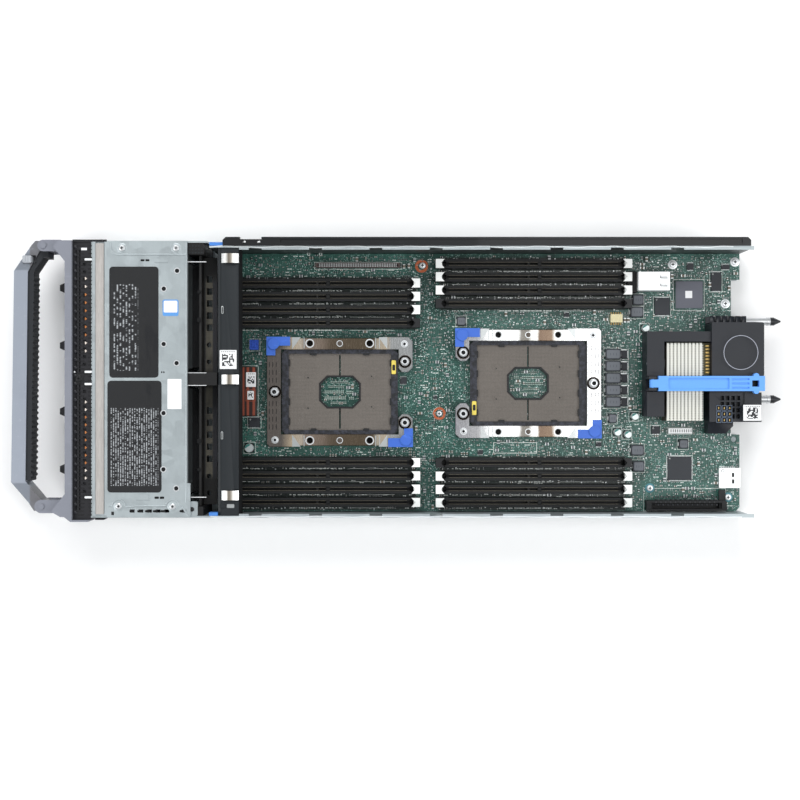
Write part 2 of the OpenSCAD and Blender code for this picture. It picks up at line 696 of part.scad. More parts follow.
module dimm_latch(n) {
    g = LATCHES[n][0];
    i = LATCHES[n][1];
    at_rear = LATCHES[n][2] == 1;
    inner_row = (g == 0 || g == 2) ? rows - 1 : 0;
    x = GROUPS[g][0] + (at_rear ? dimm_l - latch_pivot_in : latch_pivot_in);
    color(i == inner_row ? [0.12, 0.12, 0.13] : [0.93, 0.92, 0.88])
        translate([x, row_y(g, i), latch_pivot_z]) mirror([at_rear ? 0 : 1, 0, 0]) latch_shape();
}

// ---------- parts on the board ----------

vrm_x = cpu_2.x + bolster_l / 2 + 3.2;
choke_x = dimm_rear_x + dimm_l + 1.6;
VRM_Y = [for (i = [0:4]) 18.6 - 8.6 * i];
CHOKES = [[choke_x, 54, 8], [choke_x - 1.6, 45.2, 9.4], [choke_x - 1.2, -54.4, 9.4], [choke_x + 0.2, -66, 8.4]];
CANS = [[vrm_x + 8.6, -37.6], [vrm_x + 16, -39.2], [vrm_x + 21, -26.2], [vrm_x + 28.8, 37.3]];

module power_parts() {
    color([0.45, 0.46, 0.48]) {
        for (y = VRM_Y) slab([vrm_x, y - 3.8, top_z], [vrm_x + 11, y + 3.8, top_z + 5.2], 0.8);
        for (p = CHOKES) slab([p.x, p.y, top_z], [p.x + p.z, p.y + 7.6, top_z + 4], 0.7);
        for (p = CANS) translate([p.x, p.y, top_z]) cylinder(r = 2.8, h = 6.4);
        // Film capacitor pack in front of the first processor
        slab([board_x0 + 12.6, -26, top_z], [board_x0 + 24, 9.6, top_z + 7], 2.4);
        translate([board_x0 + 18.6, -49, top_z]) cylinder(r = 3.4, h = 5);
        // Coin cell holder and the square choke at the back
        translate([cpu_2.x - 48, 42.4, top_z]) cylinder(r = 3.2, h = 3.4);
        slab([pan_x1 - 45.4, -49.4, top_z], [pan_x1 - 38.8, -42.8, top_z + 3.6], 0.6);
        slab([vrm_x + 2.4, -31, top_z], [vrm_x + 8.4, -24.4, top_z + 3], 0.5);
    }
}

module chips() {
    color([0.14, 0.14, 0.15]) {
        slab([pan_x1 - 48.1, 51.2, top_z], [pan_x1 - 27.4, 71.9, top_z + 1.6], 0.4);
        slab([pan_x1 - 62.6, 47, top_z], [pan_x1 - 51.7, 59.4, top_z + 1.3], 0.3);
        slab([pan_x1 - 21.9, 64.4, top_z], [pan_x1 - 14.5, 77.8, top_z + 1.2], 0.3);
        slab([pan_x1 - 53.2, -72.2, top_z], [pan_x1 - 36, -55.3, top_z + 1.5], 0.4);
        slab([pan_x1 - 65, -38.8, top_z], [pan_x1 - 58.8, -33.4, top_z + 1.2], 0.3);
        slab([board_x0 + 18, -34, top_z], [board_x0 + 26.2, -27.2, top_z + 1.2], 0.3);
        for (y = VRM_Y) slab([vrm_x + 11.6, y - 2.9, top_z], [vrm_x + 16.2, y + 2.9, top_z + 1.1], 0.3);
    }
}

usb_x0 = pan_x1 - 76.6;
usb_w = 13.2;
usb_h = 7.2;
usb_y = 70.4;
usb_shell = 0.5;
card_h = 3;

module ports() {
    color([0.78, 0.78, 0.77]) {
        // Two stacked receptacles, open to the rear, on a black base
        difference() {
            block([usb_x0, usb_y - usb_w / 2, top_z], [usb_x0 + 22.4, usb_y + usb_w / 2, top_z + 2 * usb_h]);
            for (k = [0, 1]) difference() {
                block([usb_x0 + 10, usb_y - usb_w / 2 + usb_shell, top_z + k * usb_h + usb_shell],
                      [usb_x0 + 23, usb_y + usb_w / 2 - usb_shell, top_z + (k + 1) * usb_h - usb_shell]);
                block([usb_x0 + 8, usb_y - usb_w / 2 + 1.4, top_z + k * usb_h + usb_h * 0.72],
                      [usb_x0 + 20.4, usb_y + usb_w / 2 - 1.4, top_z + k * usb_h + usb_h * 0.9]);
            }
        }
        // Memory card slot, open to the rear
        difference() {
            slab([pan_x1 - 16.5, -77.8, top_z], [pan_x1 - sheet_t, -63.4, top_z + card_h], 0.5);
            block([pan_x1 - 15, -76.6, top_z + 0.6], [pan_x1, -64.6, top_z + card_h - 0.5]);
        }
    }
}

module board_connectors() {
    color([0.15, 0.13, 0.13]) {
        // Long connector near the -Y wall
        difference() {
            slab([pan_x1 - 69.6, -94, top_z], [pan_x1 - 12, -86.6, top_z + 7.4], 0.8);
            block([pan_x1 - 66, -92.4, top_z + 1.6], [pan_x1 - 15.6, -88.2, top_z + 8]);
        }
        // Long connector near the +Y wall, above the first processor
        difference() {
            slab([board_x0 + 66.3, 80.9, top_z], [board_x0 + 127.5, 84.4, top_z + 4.4], 0.5);
            block([board_x0 + 68, 82.1, top_z + 1], [board_x0 + 126, 83.2, top_z + 5]);
        }
        // Small sockets and headers
        slab([board_x0 + 19, 21.8, top_z], [board_x0 + 25.4, 29, top_z + 4.2], 0.5);
        slab([vrm_x + 3.6, 41.4, top_z], [vrm_x + 12.2, 47.4, top_z + 4.6], 0.4);
        slab([pan_x1 - 52.8, -38.4, top_z], [pan_x1 - 36.4, -34.8, top_z + 3.4], 0.4);
        // Mounting lug under the rear corner screw
        slab([pan_x1 - 17.2, -92.4, top_z + 3.4], [pan_x1 - 12.4, -79, top_z + 5], 0.6);
    }
}

// ---------- rear assembly ----------

riser_h = 30;
shelf_h = 28;
cover_x = io_x + 0.8;
housing_x1 = pan_x1 + 10.8;

module rear_housing() {
    fin_gap = 0.8;
    color([0.11, 0.11, 0.12]) difference() {
        union() {
            // Riser frame round two sides of the fins, with a low saddle under the retention latch
            block([riser_x, 2.6, top_z], [fin_x - fin_gap, 34.2, riser_h]);
            block([fin_x - fin_gap, fin_y1 + fin_gap, top_z], [cover_x, 34.2, riser_h]);
            block([riser_x, -8.6, top_z], [fin_x - fin_gap, 2.6, riser_h - 6]);
            block([riser_x, -26.2, top_z], [fin_x - fin_gap, -8.6, riser_h]);
            // Ears for the retention latch's hinge
            for (s = [-1, 1]) {
                y = retain_y + s * 4.1;
                block([riser_x, y - 0.9, riser_h - 6], [retain_hinge_x + ear_reach, y + 0.9, retain_z + retain_t]);
            }
            // Cover over the rear connector, and the shelf beside it
            slab([cover_x, 2.2, top_z], [housing_x1, 40.6, housing_h], 1.4);
            block([io_x + 24.8, -30, top_z], [housing_x1 - 0.8, -9, shelf_h]);
            block([io_x + 0.2, -9, top_z], [housing_x1 - 3.4, 2.2, shelf_h]);
            // Ribs along the +Y side
            block([io_x + 1, 40.6, top_z], [pan_x1, 45.3, 23]);
            for (i = [0:5]) block([io_x + 1 + 4.6 * i, 40.6, 23], [io_x + 3.6 + 4.6 * i, 45.3, 26]);
        }
        // Step where the housing passes over the board's rear edge
        block([pan_x1 - 6, -60, board_z - 1], [rear_x, 60, top_z + 0.2]);
        // Bore of the retention latch's hinge
        translate([retain_hinge_x, retain_y + 8, retain_hinge_z]) rotate([90, 0, 0])
            cylinder(r = retain_pin_r + pin_clear, h = 16, $fn = 24);
        // Bores that hold the guide pins
        for (y = GUIDE_Y) translate([pin_root_x, y, guide_z]) rotate([0, 90, 0])
            cylinder(r = guide_r + 0.02, h = 30, $fn = 48);
    }
}

cell_pitch = 3.8;

module io_connector() {
    color([0.17, 0.17, 0.18]) difference() {
        union() {
            block([io_x + 0.2, -30, top_z], [io_x + 24.8, -9, shelf_h - 1]);
            translate([0, 0, top_z]) linear_extrude(12) polygon([[io_x + 0.4, -30], [io_x + 0.4, -38.4],
                [io_x + 13, -38.4], [io_x + 18.4, -33], [io_x + 18.4, -30]]);
        }
        // Cells of the connector
        for (i = [0:3], j = [0:3]) {
            x = io_x + 8 + cell_pitch * i;
            y = -27.6 + cell_pitch * 1.15 * j;
            block([x, y, shelf_h - 5], [x + 2.6, y + 3, shelf_h]);
        }
    }
}

fins = 8;
fin_t = 1.7;
fin_top = 28;

module heat_fins() {
    fin_l = 26.4;
    pitch = (fin_l - fin_t) / (fins - 1);
    color([0.86, 0.85, 0.8]) {
        block([fin_x, fin_y0, top_z], [fin_x + fin_l, fin_y1, top_z + 4]);
        for (i = [0:fins - 1]) block([fin_x + i * pitch, fin_y0, top_z + 4],
                                     [fin_x + i * pitch + fin_t, fin_y1, fin_top]);
        // Comb of plated fingers between the fins and the cover
        for (i = [0:8]) block([fin_x + fin_l, 4 + 2.5 * i, top_z + 8], [cover_x, 5.4 + 2.5 * i, 26]);
    }
}

tip_l = 10;

module guide_pins() {
    pin_l = rear_x - pin_root_x;
    color([0.75, 0.75, 0.75]) for (y = GUIDE_Y) translate([pin_root_x, y, guide_z]) rotate([0, 90, 0])
        rotate_extrude($fn = 48) polygon([[0, 0], [guide_r, 0], [guide_r, pin_l - tip_l],
            [guide_r + 0.3, pin_l - tip_l], [guide_r + 0.3, pin_l - tip_l / 2], [0.5, pin_l], [0, pin_l]]);
}

// ---------- moving pieces ----------

// Plan of the handle's outer loop between its two knuckles
module handle_plan() {
    x0 = front_x;
    polygon([[x0, -side_y + 27], [x0 + lean, side_y - 23], [x0 + 14.2, side_y - 5.2], [x0 + 17, side_y - 2],
             [catch_x + 3.6, side_y - 2], [catch_x + 3.6, side_y - 9.2], [x0 + 20, side_y - 9.2],
             [x0 + lean + handle_bar_t + 0.2, side_y - 23.6], [x0 + handle_bar_t + 0.6, -side_y + 27.6],
             [hinge_x - 1, -side_y + 14.6], [hinge_x + 3.4, -side_y + 13], [hinge_x + 3.4, -side_y + 7],
             [hinge_x - 6, -side_y + 7], [x0 + 12.4, -side_y + 12.6]]);
}

module handle() {
    color([0.42, 0.42, 0.44]) difference() {
        translate([0, 0, handle_z0]) {
            linear_extrude(handle_h) handle_plan();
            translate([hinge_x, hinge_y, 0]) cylinder(r = 4.2, h = handle_h);
        }
        translate([hinge_x, hinge_y, handle_z0 - bite])
            cylinder(r = hinge_r + pin_clear, h = handle_h + 2 * bite, $fn = 48);
        // Slot that leaves the catch pin as the handle swings out
        translate([catch_x, catch_y, handle_z0 - bite]) cylinder(r = hinge_r + 0.4, h = handle_h + 2 * bite);
        block([catch_x, catch_y - hinge_r - 0.4, handle_z0 - bite],
              [catch_x + 6, catch_y + hinge_r + 0.4, handle_z1 + bite]);
        release_seat();
        // Recess along the outer face
        block([front_x - bite, -side_y + 34, handle_z - 3], [front_x + 2.6, side_y - 34, handle_z + 3]);
    }
}

// Soft grip with scallops along the inside of the bar, and its liner round the upper corner
module handle_grip() {
    x0 = front_x + handle_bar_t + 0.62;
    top_x = front_x + lean + handle_bar_t + 0.22;
    y0 = -side_y + 28;
    y1 = side_y - 23.6;
    edge = grip_t - 1.1;
    count = floor((y1 - y0) / scallop_pitch);
    color([0.1, 0.1, 0.11]) difference() {
        translate([0, 0, handle_z0 + 1]) {
            linear_extrude(handle_h - 2) polygon([[x0, y0], [top_x, y1], [front_x + 20, side_y - 9.22],
                [catch_x + 2.6, side_y - 9.22], [catch_x + 2.6, side_y - 13.6], [front_x + 22.4, side_y - 13.6],
                [top_x + edge + 0.4, y1], [x0 + edge, y0]]);
            for (i = [1:count - 1]) {
                t = i / count;
                translate([x0 + (top_x - x0) * t + edge - 0.3, y0 + t * (y1 - y0), 0])
                    cylinder(r = scallop_pitch / 3, h = handle_h - 2, $fn = 16);
            }
        }
        release_seat();
    }
}

release_x0 = front_x + 8.4;
release_x1 = front_x + 14.6;
release_y0 = side_y - 17.4;
release_y1 = side_y - 12.4;
release_z0 = handle_z1 - 5;
release_travel = 2.6;

// Room for the release button over its travel, cut in the handle and the grip
module release_seat() {
    block([release_x0 - air, release_y0 - air, release_z0 - air],
          [release_x1 + release_travel + air, release_y1 + air, handle_z1 + bite]);
}

module handle_release() {
    color([0.72, 0.73, 0.75]) {
        slab([release_x0, release_y0, release_z0], [release_x1, release_y1, handle_z1 + 1.6], 0.8);
        for (i = [0:2]) block([release_x0 + 1 + 1.8 * i, release_y0 + 0.6, handle_z1 + 1.6],
                              [release_x0 + 1.9 + 1.8 * i, release_y1 - 0.6, handle_z1 + 2.1]);
    }
}

module side_latch() {
    color([0.15, 0.15, 0.16]) translate([0, 0, hook_z - hook_h / 2]) linear_extrude(hook_h)
        polygon([[hook_x, -side_y + 0.6], [hook_x + hook_l - 3, -side_y + 0.6],
                 [hook_x + hook_l, -side_y + 2.4],
                 [hook_x + hook_l, wall_y0 + 5], [hook_x, wall_y0 + 5]]);
}

pull_w = 6.8;
PULL_Y = [-20.6, 20.6];

module drive(y) {
    z0 = bay_z + drive_gap;
    front_l = 9;
    color([0.16, 0.16, 0.17]) {
        // Front of the carrier with its two pulls and the rail between them
        difference() {
            block([drive_x0, y - drive_w / 2, z0], [drive_x0 + front_l, y + drive_w / 2, z0 + drive_h]);
            for (i = [0:9]) block([drive_x0 - bite, y - 16 + 3.3 * i, bay_z + 4],
                                  [drive_x0 + 10, y - 14.6 + 3.3 * i, bay_z + 13]);
        }
        for (p = PULL_Y) translate([drive_x0 - front_l, y + p, z0 + 2]) linear_extrude(drive_h - 4)
            polygon([[0, -pull_w / 2 + 1.4], [0, pull_w / 2 - 1.4], [3, pull_w / 2], [9, pull_w / 2],
                     [9, -pull_w / 2], [3, -pull_w / 2]]);
        block([drive_x0 - 1.6, y - 17, bay_z + 12], [drive_x0, y + 17, bay_z + 15]);
        // Side rails of the carrier
        for (s = [-1, 1]) translate([drive_x0 + front_l, y + s * (drive_w / 2 - 0.9) - 0.9, z0])
            cube([drive_x1 - drive_x0 - front_l, 1.8, drive_h]);
        // The drive itself
        slab([drive_x0 + front_l, y - drive_w / 2 + 1.8, z0 + 0.8],
             [drive_x1, y + drive_w / 2 - 1.8, bay_z + drive_h - 0.6], 1.5);
    }
}

module retention_latch() {
    x0 = retain_hinge_x + norm([ear_reach, retain_t / 2]) + 0.6;
    foot = 3.2;
    color([0.24, 0.47, 0.85]) {
        difference() {
            union() {
                block([x0, retain_y - retain_w / 2, retain_z],
                      [retain_x1, retain_y + retain_w / 2, retain_z + retain_t]);
                // Knuckle between the two ears, and the snap leg at the far end
                block([retain_hinge_x, retain_y - 2.8, retain_z], [x0, retain_y + 2.8, retain_z + retain_t]);
                translate([retain_hinge_x, retain_y + 2.8, retain_hinge_z]) rotate([90, 0, 0])
                    cylinder(r = retain_t / 2, h = 5.6);
                for (s = [-1, 1]) translate([retain_x1 - 6, retain_y + s * retain_w / 2, retain_z])
                    cylinder(r = 2, h = retain_t);
                block([retain_x1 - 2.4, retain_y - 4.4, retain_z - foot], [retain_x1, retain_y + 4.4, retain_z]);
            }
            // Hollow along the top, and the finger recess
            slab([x0 + 7, retain_y - retain_w / 2 + 1.4, retain_z + retain_t - 1.2],
                 [retain_x1 - 25, retain_y + retain_w / 2 - 1.4, retain_z + retain_t + bite], 1);
            block([retain_x1 - 9, retain_y - 2.2, retain_z - bite],
                  [retain_x1 - 4, retain_y + 2.2, retain_z + retain_t + bite]);
            for (s = [-1, 0, 1]) block([retain_x1 - 23, retain_y + s * 3 - 0.7, retain_z + retain_t - 1],
                                       [retain_x1 - 11, retain_y + s * 3 + 0.7, retain_z + retain_t + bite]);
        }
        translate([retain_hinge_x, retain_y + 5, retain_hinge_z]) rotate([90, 0, 0])
            cylinder(r = retain_pin_r, h = 10, $fn = 24);
    }
}

// ---------- nodes ----------

base_pan();
guide_rail();
front_bezel();
vent_frame();
seal_gasket();
drive_cage();
cage_cover();
fasteners();
corner_blocks();
backplane();
front_bar();
spring_clips();
touch_points();
system_board();
for (k = [0, 1]) {
    cpu_socket(CPUS[k]);
    bolster(CPUS[k]);
    drive(DRIVE_Y[k]);
}
dimm_sockets(0);  // dimm_sockets_front
dimm_sockets(2);  // dimm_sockets_rear
power_parts();
chips();
ports();
board_connectors();
rear_housing();
io_connector();
heat_fins();
guide_pins();
handle();
handle_grip();
handle_release();
side_latch();
power_button();
retention_latch();
for (n = [0:len(LATCHES) - 1])
    dimm_latch(n);
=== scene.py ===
"""Looks for a half-height blade server tray, laid out as an add-on and run as a script.

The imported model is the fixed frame. x runs from the carrying handle to the rear guide pins,
y across the tray and z up. Every piece is drawn in millimetres in those axes and scaled to
metres once it is whole.
"""

import functools
import json
import math
import random

import bmesh
import bpy
from mathutils import Matrix, Vector
from mathutils.bvhtree import BVHTree

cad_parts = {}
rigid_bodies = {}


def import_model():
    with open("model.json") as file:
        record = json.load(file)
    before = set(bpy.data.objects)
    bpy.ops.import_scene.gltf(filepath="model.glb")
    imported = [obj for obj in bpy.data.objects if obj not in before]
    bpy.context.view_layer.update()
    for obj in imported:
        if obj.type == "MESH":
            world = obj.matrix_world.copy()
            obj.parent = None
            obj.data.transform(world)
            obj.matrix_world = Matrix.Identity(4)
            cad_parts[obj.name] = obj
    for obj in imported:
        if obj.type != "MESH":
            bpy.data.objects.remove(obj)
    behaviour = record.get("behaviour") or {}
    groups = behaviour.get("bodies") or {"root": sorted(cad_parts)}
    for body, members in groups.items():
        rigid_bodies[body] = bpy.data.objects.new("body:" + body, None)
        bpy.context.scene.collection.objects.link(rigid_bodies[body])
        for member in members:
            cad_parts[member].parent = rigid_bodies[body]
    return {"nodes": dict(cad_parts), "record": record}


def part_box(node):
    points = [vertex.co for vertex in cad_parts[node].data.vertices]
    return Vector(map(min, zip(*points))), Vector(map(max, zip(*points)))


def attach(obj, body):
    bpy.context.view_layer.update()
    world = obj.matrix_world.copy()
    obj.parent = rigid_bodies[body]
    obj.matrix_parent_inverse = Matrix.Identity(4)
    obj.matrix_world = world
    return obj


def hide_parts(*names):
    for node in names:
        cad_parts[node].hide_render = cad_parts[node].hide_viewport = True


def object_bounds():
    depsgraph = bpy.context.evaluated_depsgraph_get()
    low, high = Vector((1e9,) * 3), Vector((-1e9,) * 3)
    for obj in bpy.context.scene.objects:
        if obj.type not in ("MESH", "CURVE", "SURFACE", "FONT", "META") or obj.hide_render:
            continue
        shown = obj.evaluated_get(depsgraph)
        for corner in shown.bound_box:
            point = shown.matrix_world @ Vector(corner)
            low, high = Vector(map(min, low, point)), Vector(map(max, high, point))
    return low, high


bl_info = {
    "name": "Blade server tray",
    "version": (1, 0, 0),
    "blender": (4, 5, 0),
    "location": "View3D > Sidebar > Blade",
    "description": "Dresses the packed frame of a half-height blade server tray",
    "category": "Object",
}

for leftover in list(bpy.data.objects):
    bpy.data.objects.remove(leftover)

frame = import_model()
cad_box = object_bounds()

MM = 0.001
SHEET = 1.2
UP = Vector((0, 0, 1))


def tone(red, green, blue):
    """A display colour from 0 to 255 a channel, as the linear values that shaders take."""
    linear = []
    for level in (red, green, blue):
        share = level / 255
        linear.append(share / 12.92 if share <= 0.04045 else ((share + 0.055) / 1.055) ** 2.4)
    return tuple(linear)


def span(node):
    """A node's lowest and highest corners in millimetres."""
    low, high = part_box(node)
    return low / MM, high / MM


BOARD_TOP = span("system_board")[1].z
FRAME_TOP = span("bolster_1")[1].z
HOUSING_TOP = span("rear_housing")[1].z
WALL_TOP = span("base_pan")[1].z
COVER_TOP = WALL_TOP + SHEET


# ---------------------------------------------------------------- properties


def colour_property(name, description, red, green, blue):
    """A colour picker whose default is a display colour."""
    return bpy.props.FloatVectorProperty(
        name=name,
        description=description,
        subtype="COLOR",
        size=3,
        min=0.0,
        max=1.0,
        default=tone(red, green, blue),
    )


def length_property(name, description, millimetres):
    """A length whose default is given in millimetres."""
    return bpy.props.FloatProperty(
        name=name,
        description=description,
        unit="LENGTH",
        subtype="DISTANCE",
        min=0.0,
        precision=5,
        default=millimetres * MM,
    )


class BladeColours(bpy.types.PropertyGroup):
    """The paints, platings, plastics and films of the tray."""

    zinc: colour_property("Zinc sheet", "Galvanised pan, walls and cage cover", 176, 185, 188)
    bezel: colour_property("Bezel", "Painted front bezel", 128, 131, 141)
    handle: colour_property("Handle", "Satin die-cast carrying handle", 156, 163, 175)
    knuckle: colour_property("Knuckle", "Cast hinge knuckles", 104, 100, 100)
    black: colour_property("Black plastic", "Vent, rail, blocks and sockets", 22, 23, 25)
    film: colour_property("Label film", "Black printed labels", 19, 20, 23)
    print: colour_property("Print", "Dash rows printed on the black labels", 176, 180, 184)
    paper: colour_property("Paper", "White stickers", 236, 237, 238)
    foam: colour_property("Foam", "Conductive foam of the seal", 182, 178, 174)
    mask: colour_property("Solder mask", "Green lacquer of the boards", 22, 62, 54)
    copper: colour_property("Covered copper", "Traces under the lacquer", 56, 104, 94)
    silk: colour_property("Silkscreen", "Printed part outlines", 214, 220, 216)
    tin: colour_property("Tin", "Solder, leads and plated cans", 196, 200, 200)
    gold: colour_property("Gold", "Plated contacts", 176, 150, 92)
    blue: colour_property("Touch blue", "Parts meant to be gripped", 100, 162, 240)
    field: colour_property("Pin field", "Contact field of the processor sockets", 104, 98, 92)
    chip: colour_property("Chip", "Moulded chip packages", 44, 47, 52)
    fin: colour_property("Fins", "Pale heat sink fins", 206, 206, 198)
    teal: colour_property("Sleeve", "Sleeve of the small capacitors", 58, 118, 112)


class BladeSizes(bpy.types.PropertyGroup):
    """The few sizes that drive the drawn detail."""

    label_corner: length_property("Label corner", "Corner radius of the two black labels", 2.5)
    print_pitch: length_property("Print pitch", "Distance between dash rows on a label", 2.1)
    stud_pitch: length_property("Stud pitch", "Distance between the vent's front studs", 5.6)
    finger_pitch: length_property("Finger pitch", "Distance between the vent's spring fingers", 5.35)
    pin_pitch: length_property("Pin pitch", "Pitch of the processor contacts", 1.0)
    trace_pitch: length_property("Trace pitch", "Pitch of the traces in the board", 1.3)
    clearance: length_property("Part clearance", "Least gap between two small parts", 0.25)
    clusters: bpy.props.IntProperty(
        name="Clusters",
        description="How many groups of small parts are tried on the board",
        min=0,
        default=26000,
    )
    seed: bpy.props.IntProperty(
        name="Seed",
        description="Seed of the small parts' layout",
        min=0,
        default=14,
    )
    light: bpy.props.FloatProperty(
        name="Studio light",
        description="Power of the soft light over the tray, in watts",
        unit="POWER",
        min=0.0,
        default=12.5,
    )


def paint(name):
    """One of the chosen colours."""
    return tuple(getattr(bpy.context.scene.blade_colours, name))


def size(name):
    """One of the chosen lengths, in millimetres."""
    return getattr(bpy.context.scene.blade_sizes, name) / MM


def faded(colour, factor):
    """A colour made darker or lighter by a factor."""
    return tuple(min(1.0, level * factor) for level in colour)


# ------------------------------------------------------------------ shaders


def _joined(operation, swap=False):
    """A method that sends its two operands through one Math node."""

    def method(self, other):
        pair = (other, self) if swap else (self, other)
        return self.finish.math(operation, *pair)

    return method


class Wire:
    """A value on its way between shader nodes; Python's operators add its Math nodes."""

    def __init__(self, finish, socket):
        self.finish = finish
        self.socket = socket

    __add__ = __radd__ = _joined("ADD")
    __mul__ = __rmul__ = _joined("MULTIPLY")
    __sub__ = _joined("SUBTRACT")
    __rsub__ = _joined("SUBTRACT", swap=True)
    __truediv__ = _joined("DIVIDE")
    __gt__ = _joined("GREATER_THAN")
    __lt__ = _joined("LESS_THAN")
    __mod__ = _joined("FLOORED_MODULO")

    def __abs__(self):
        return self.finish.math("ABSOLUTE", self)

    def floor(self):
        """The whole number at or below the value."""
        return self.finish.math("FLOOR", self)


class Finish:
    """One procedural material and the shortcuts that build its nodes."""

    def __init__(self, name):
        self.material = bpy.data.materials.new(name)
        self.material.use_nodes = True
        self.tree = self.material.node_tree
        self.shader = self.tree.nodes["Principled BSDF"]
        here = self.add("ShaderNodeTexCoord", output="Object")
        self.place = self.vector("SCALE", here, Scale=1 / MM)
        parts = self.add("ShaderNodeSeparateXYZ", inputs={0: self.place}).socket.node
        self.x, self.y, self.z = (Wire(self, socket) for socket in parts.outputs)

    def add(self, kind, settings=None, inputs=None, output=0):
        """A node of one kind, with its settings made first and its sockets fed after."""
        node = self.tree.nodes.new(kind)
        for key, value in (settings or {}).items():
            if key == "stops":
                self._set_stops(node.color_ramp, value)
            else:
                setattr(node, key, value)
        for key, value in (inputs or {}).items():
            self.feed(node.inputs[key], value)
        return Wire(self, node.outputs[output])

    @staticmethod
    def _set_stops(ramp, stops):
        while len(ramp.elements) < len(stops):
            ramp.elements.new(1.0)
        for element, (position, colour) in zip(ramp.elements, stops):
            element.position = position
            element.color = (*colour, 1.0)

    def feed(self, socket, value):
        """Links a wire to a socket, or sets the socket to a number or colour."""
        if isinstance(value, Wire):
            self.tree.links.new(value.socket, socket)
        elif socket.type == "RGBA":
            socket.default_value = (*value, 1.0)
        else:
            socket.default_value = value

    def math(self, operation, *values):
        """One Math node."""
        return self.add("ShaderNodeMath", {"operation": operation}, dict(enumerate(values)))

    def vector(self, operation, *values, **named):
        """One Vector Math node."""
        inputs = {**dict(enumerate(values)), **named}
        return self.add("ShaderNodeVectorMath", {"operation": operation}, inputs)

    def mix(self, factor, first, second):
        """The first colour turning into the second one as the factor goes to 1."""
        settings = {"data_type": "RGBA"}
        return self.add("ShaderNodeMix", settings, {0: factor, 6: first, 7: second}, output=2)

    def shade(self, colour, value):
        """A colour made lighter or darker by a value."""
        return self.vector("SCALE", colour, Scale=value)

    def noise(self, grain, detail=2.0, stretch=(1.0, 1.0, 1.0), place=None, rough=0.5):
        """Smooth noise with features of a given size in millimetres, near 0 to 1."""
        spot = self.vector("MULTIPLY", place or self.place, stretch)
        inputs = {"Vector": spot, "Scale": 1 / grain, "Detail": detail, "Roughness": rough}
        return self.add("ShaderNodeTexNoise", None, inputs)

    def cells(self, grain, distance="EUCLIDEAN", output="Color"):
        """Voronoi cells of a given size in millimetres."""
        inputs = {"Vector": self.place, "Scale": 1 / grain}
        return self.add("ShaderNodeTexVoronoi", {"distance": distance}, inputs, output)

    def channels(self, colour):
        """A colour's three channels."""
        node = self.add("ShaderNodeSeparateColor", inputs={0: colour}).socket.node
        return [Wire(self, socket) for socket in node.outputs]

    def point(self, x, y, z=0.0):
        """A place built from three values."""
        return self.add("ShaderNodeCombineXYZ", inputs={0: x, 1: y, 2: z})

    def band(self, value, start, end):
        """0 before start and 1 past end, in a straight line between."""
        inputs = {"Value": value, "From Min": start, "From Max": end}
        return self.add("ShaderNodeMapRange", None, inputs)

    def ramp(self, value, stops):
        """A colour from a value, by a ramp's stops."""
        return self.add("ShaderNodeValToRGB", {"stops": stops}, {0: value})

    def within(self, value, low, high, soft=0.05):
        """1 between two values and 0 outside them."""
        return self.band(value, low - soft, low + soft) * self.band(value, high + soft, high - soft)

    def inside(self, x0, y0, x1, y1, soft=0.05):
        """1 over a rectangle seen from above."""
        return self.within(self.x, x0, x1, soft) * self.within(self.y, y0, y1, soft)

    def lines(self, value, pitch, share, soft=0.08):
        """1 on lines that repeat at a pitch and fill a share of it."""
        phase = abs((value / pitch) % 1.0 - 0.5)
        return self.band(phase, share / 2 + soft, share / 2 - soft)

    def dress(self, colour, rough=0.5, metal=0.0, coat=0.0, height=None, depth=0.02, gloss=0.5):
        """Feeds the shader, with a bump of a given depth in millimetres."""
        self.shader.inputs["Specular IOR Level"].default_value = gloss
        self.feed(self.shader.inputs["Base Color"], colour)
        self.feed(self.shader.inputs["Roughness"], rough)
        self.feed(self.shader.inputs["Metallic"], metal)
        self.feed(self.shader.inputs["Coat Weight"], coat)
        if height is not None:
            inputs = {"Strength": 1.0, "Distance": depth * MM, "Height": height}
            bump = self.add("ShaderNodeBump", None, inputs)
            self.feed(self.shader.inputs["Normal"], bump)
        return self


@functools.cache
def moulded(
    name,
    colour,
    rough=0.5,
    metal=0.0,
    mottle=0.09,
    grain=0.6,
    depth=0.02,
    stretch=(1.0, 1.0, 1.0),
    scuff=0.10,
    coat=0.0,
    gloss=0.35,
):
    """A moulded, cast or plated surface: cloudy tone, fine grain and light scuffs."""
    finish = Finish(name)
    clouds = finish.noise(13, detail=3)
    fine = finish.noise(grain, detail=3, stretch=stretch)
    worn = finish.band(finish.noise(4.0, detail=6, stretch=(0.35, 1.2, 1.0), rough=0.7), 0.58, 0.68)
    dust = finish.band(finish.noise(1.1, detail=4, rough=0.8), 0.60, 0.72)
    level = 1 + 2 * mottle * (clouds - 0.5) + mottle * (fine - 0.5)
    base = finish.shade(colour, level)
    lit = finish.mix(worn * scuff + dust * (scuff * 0.5), base, faded(colour, 1.9))
    return finish.dress(
        lit,
        rough=rough + 0.16 * (fine - 0.5) + 0.12 * worn,
        metal=metal,
        coat=coat,
        height=fine + 0.4 * dust,
        depth=depth,
        gloss=gloss,
    )


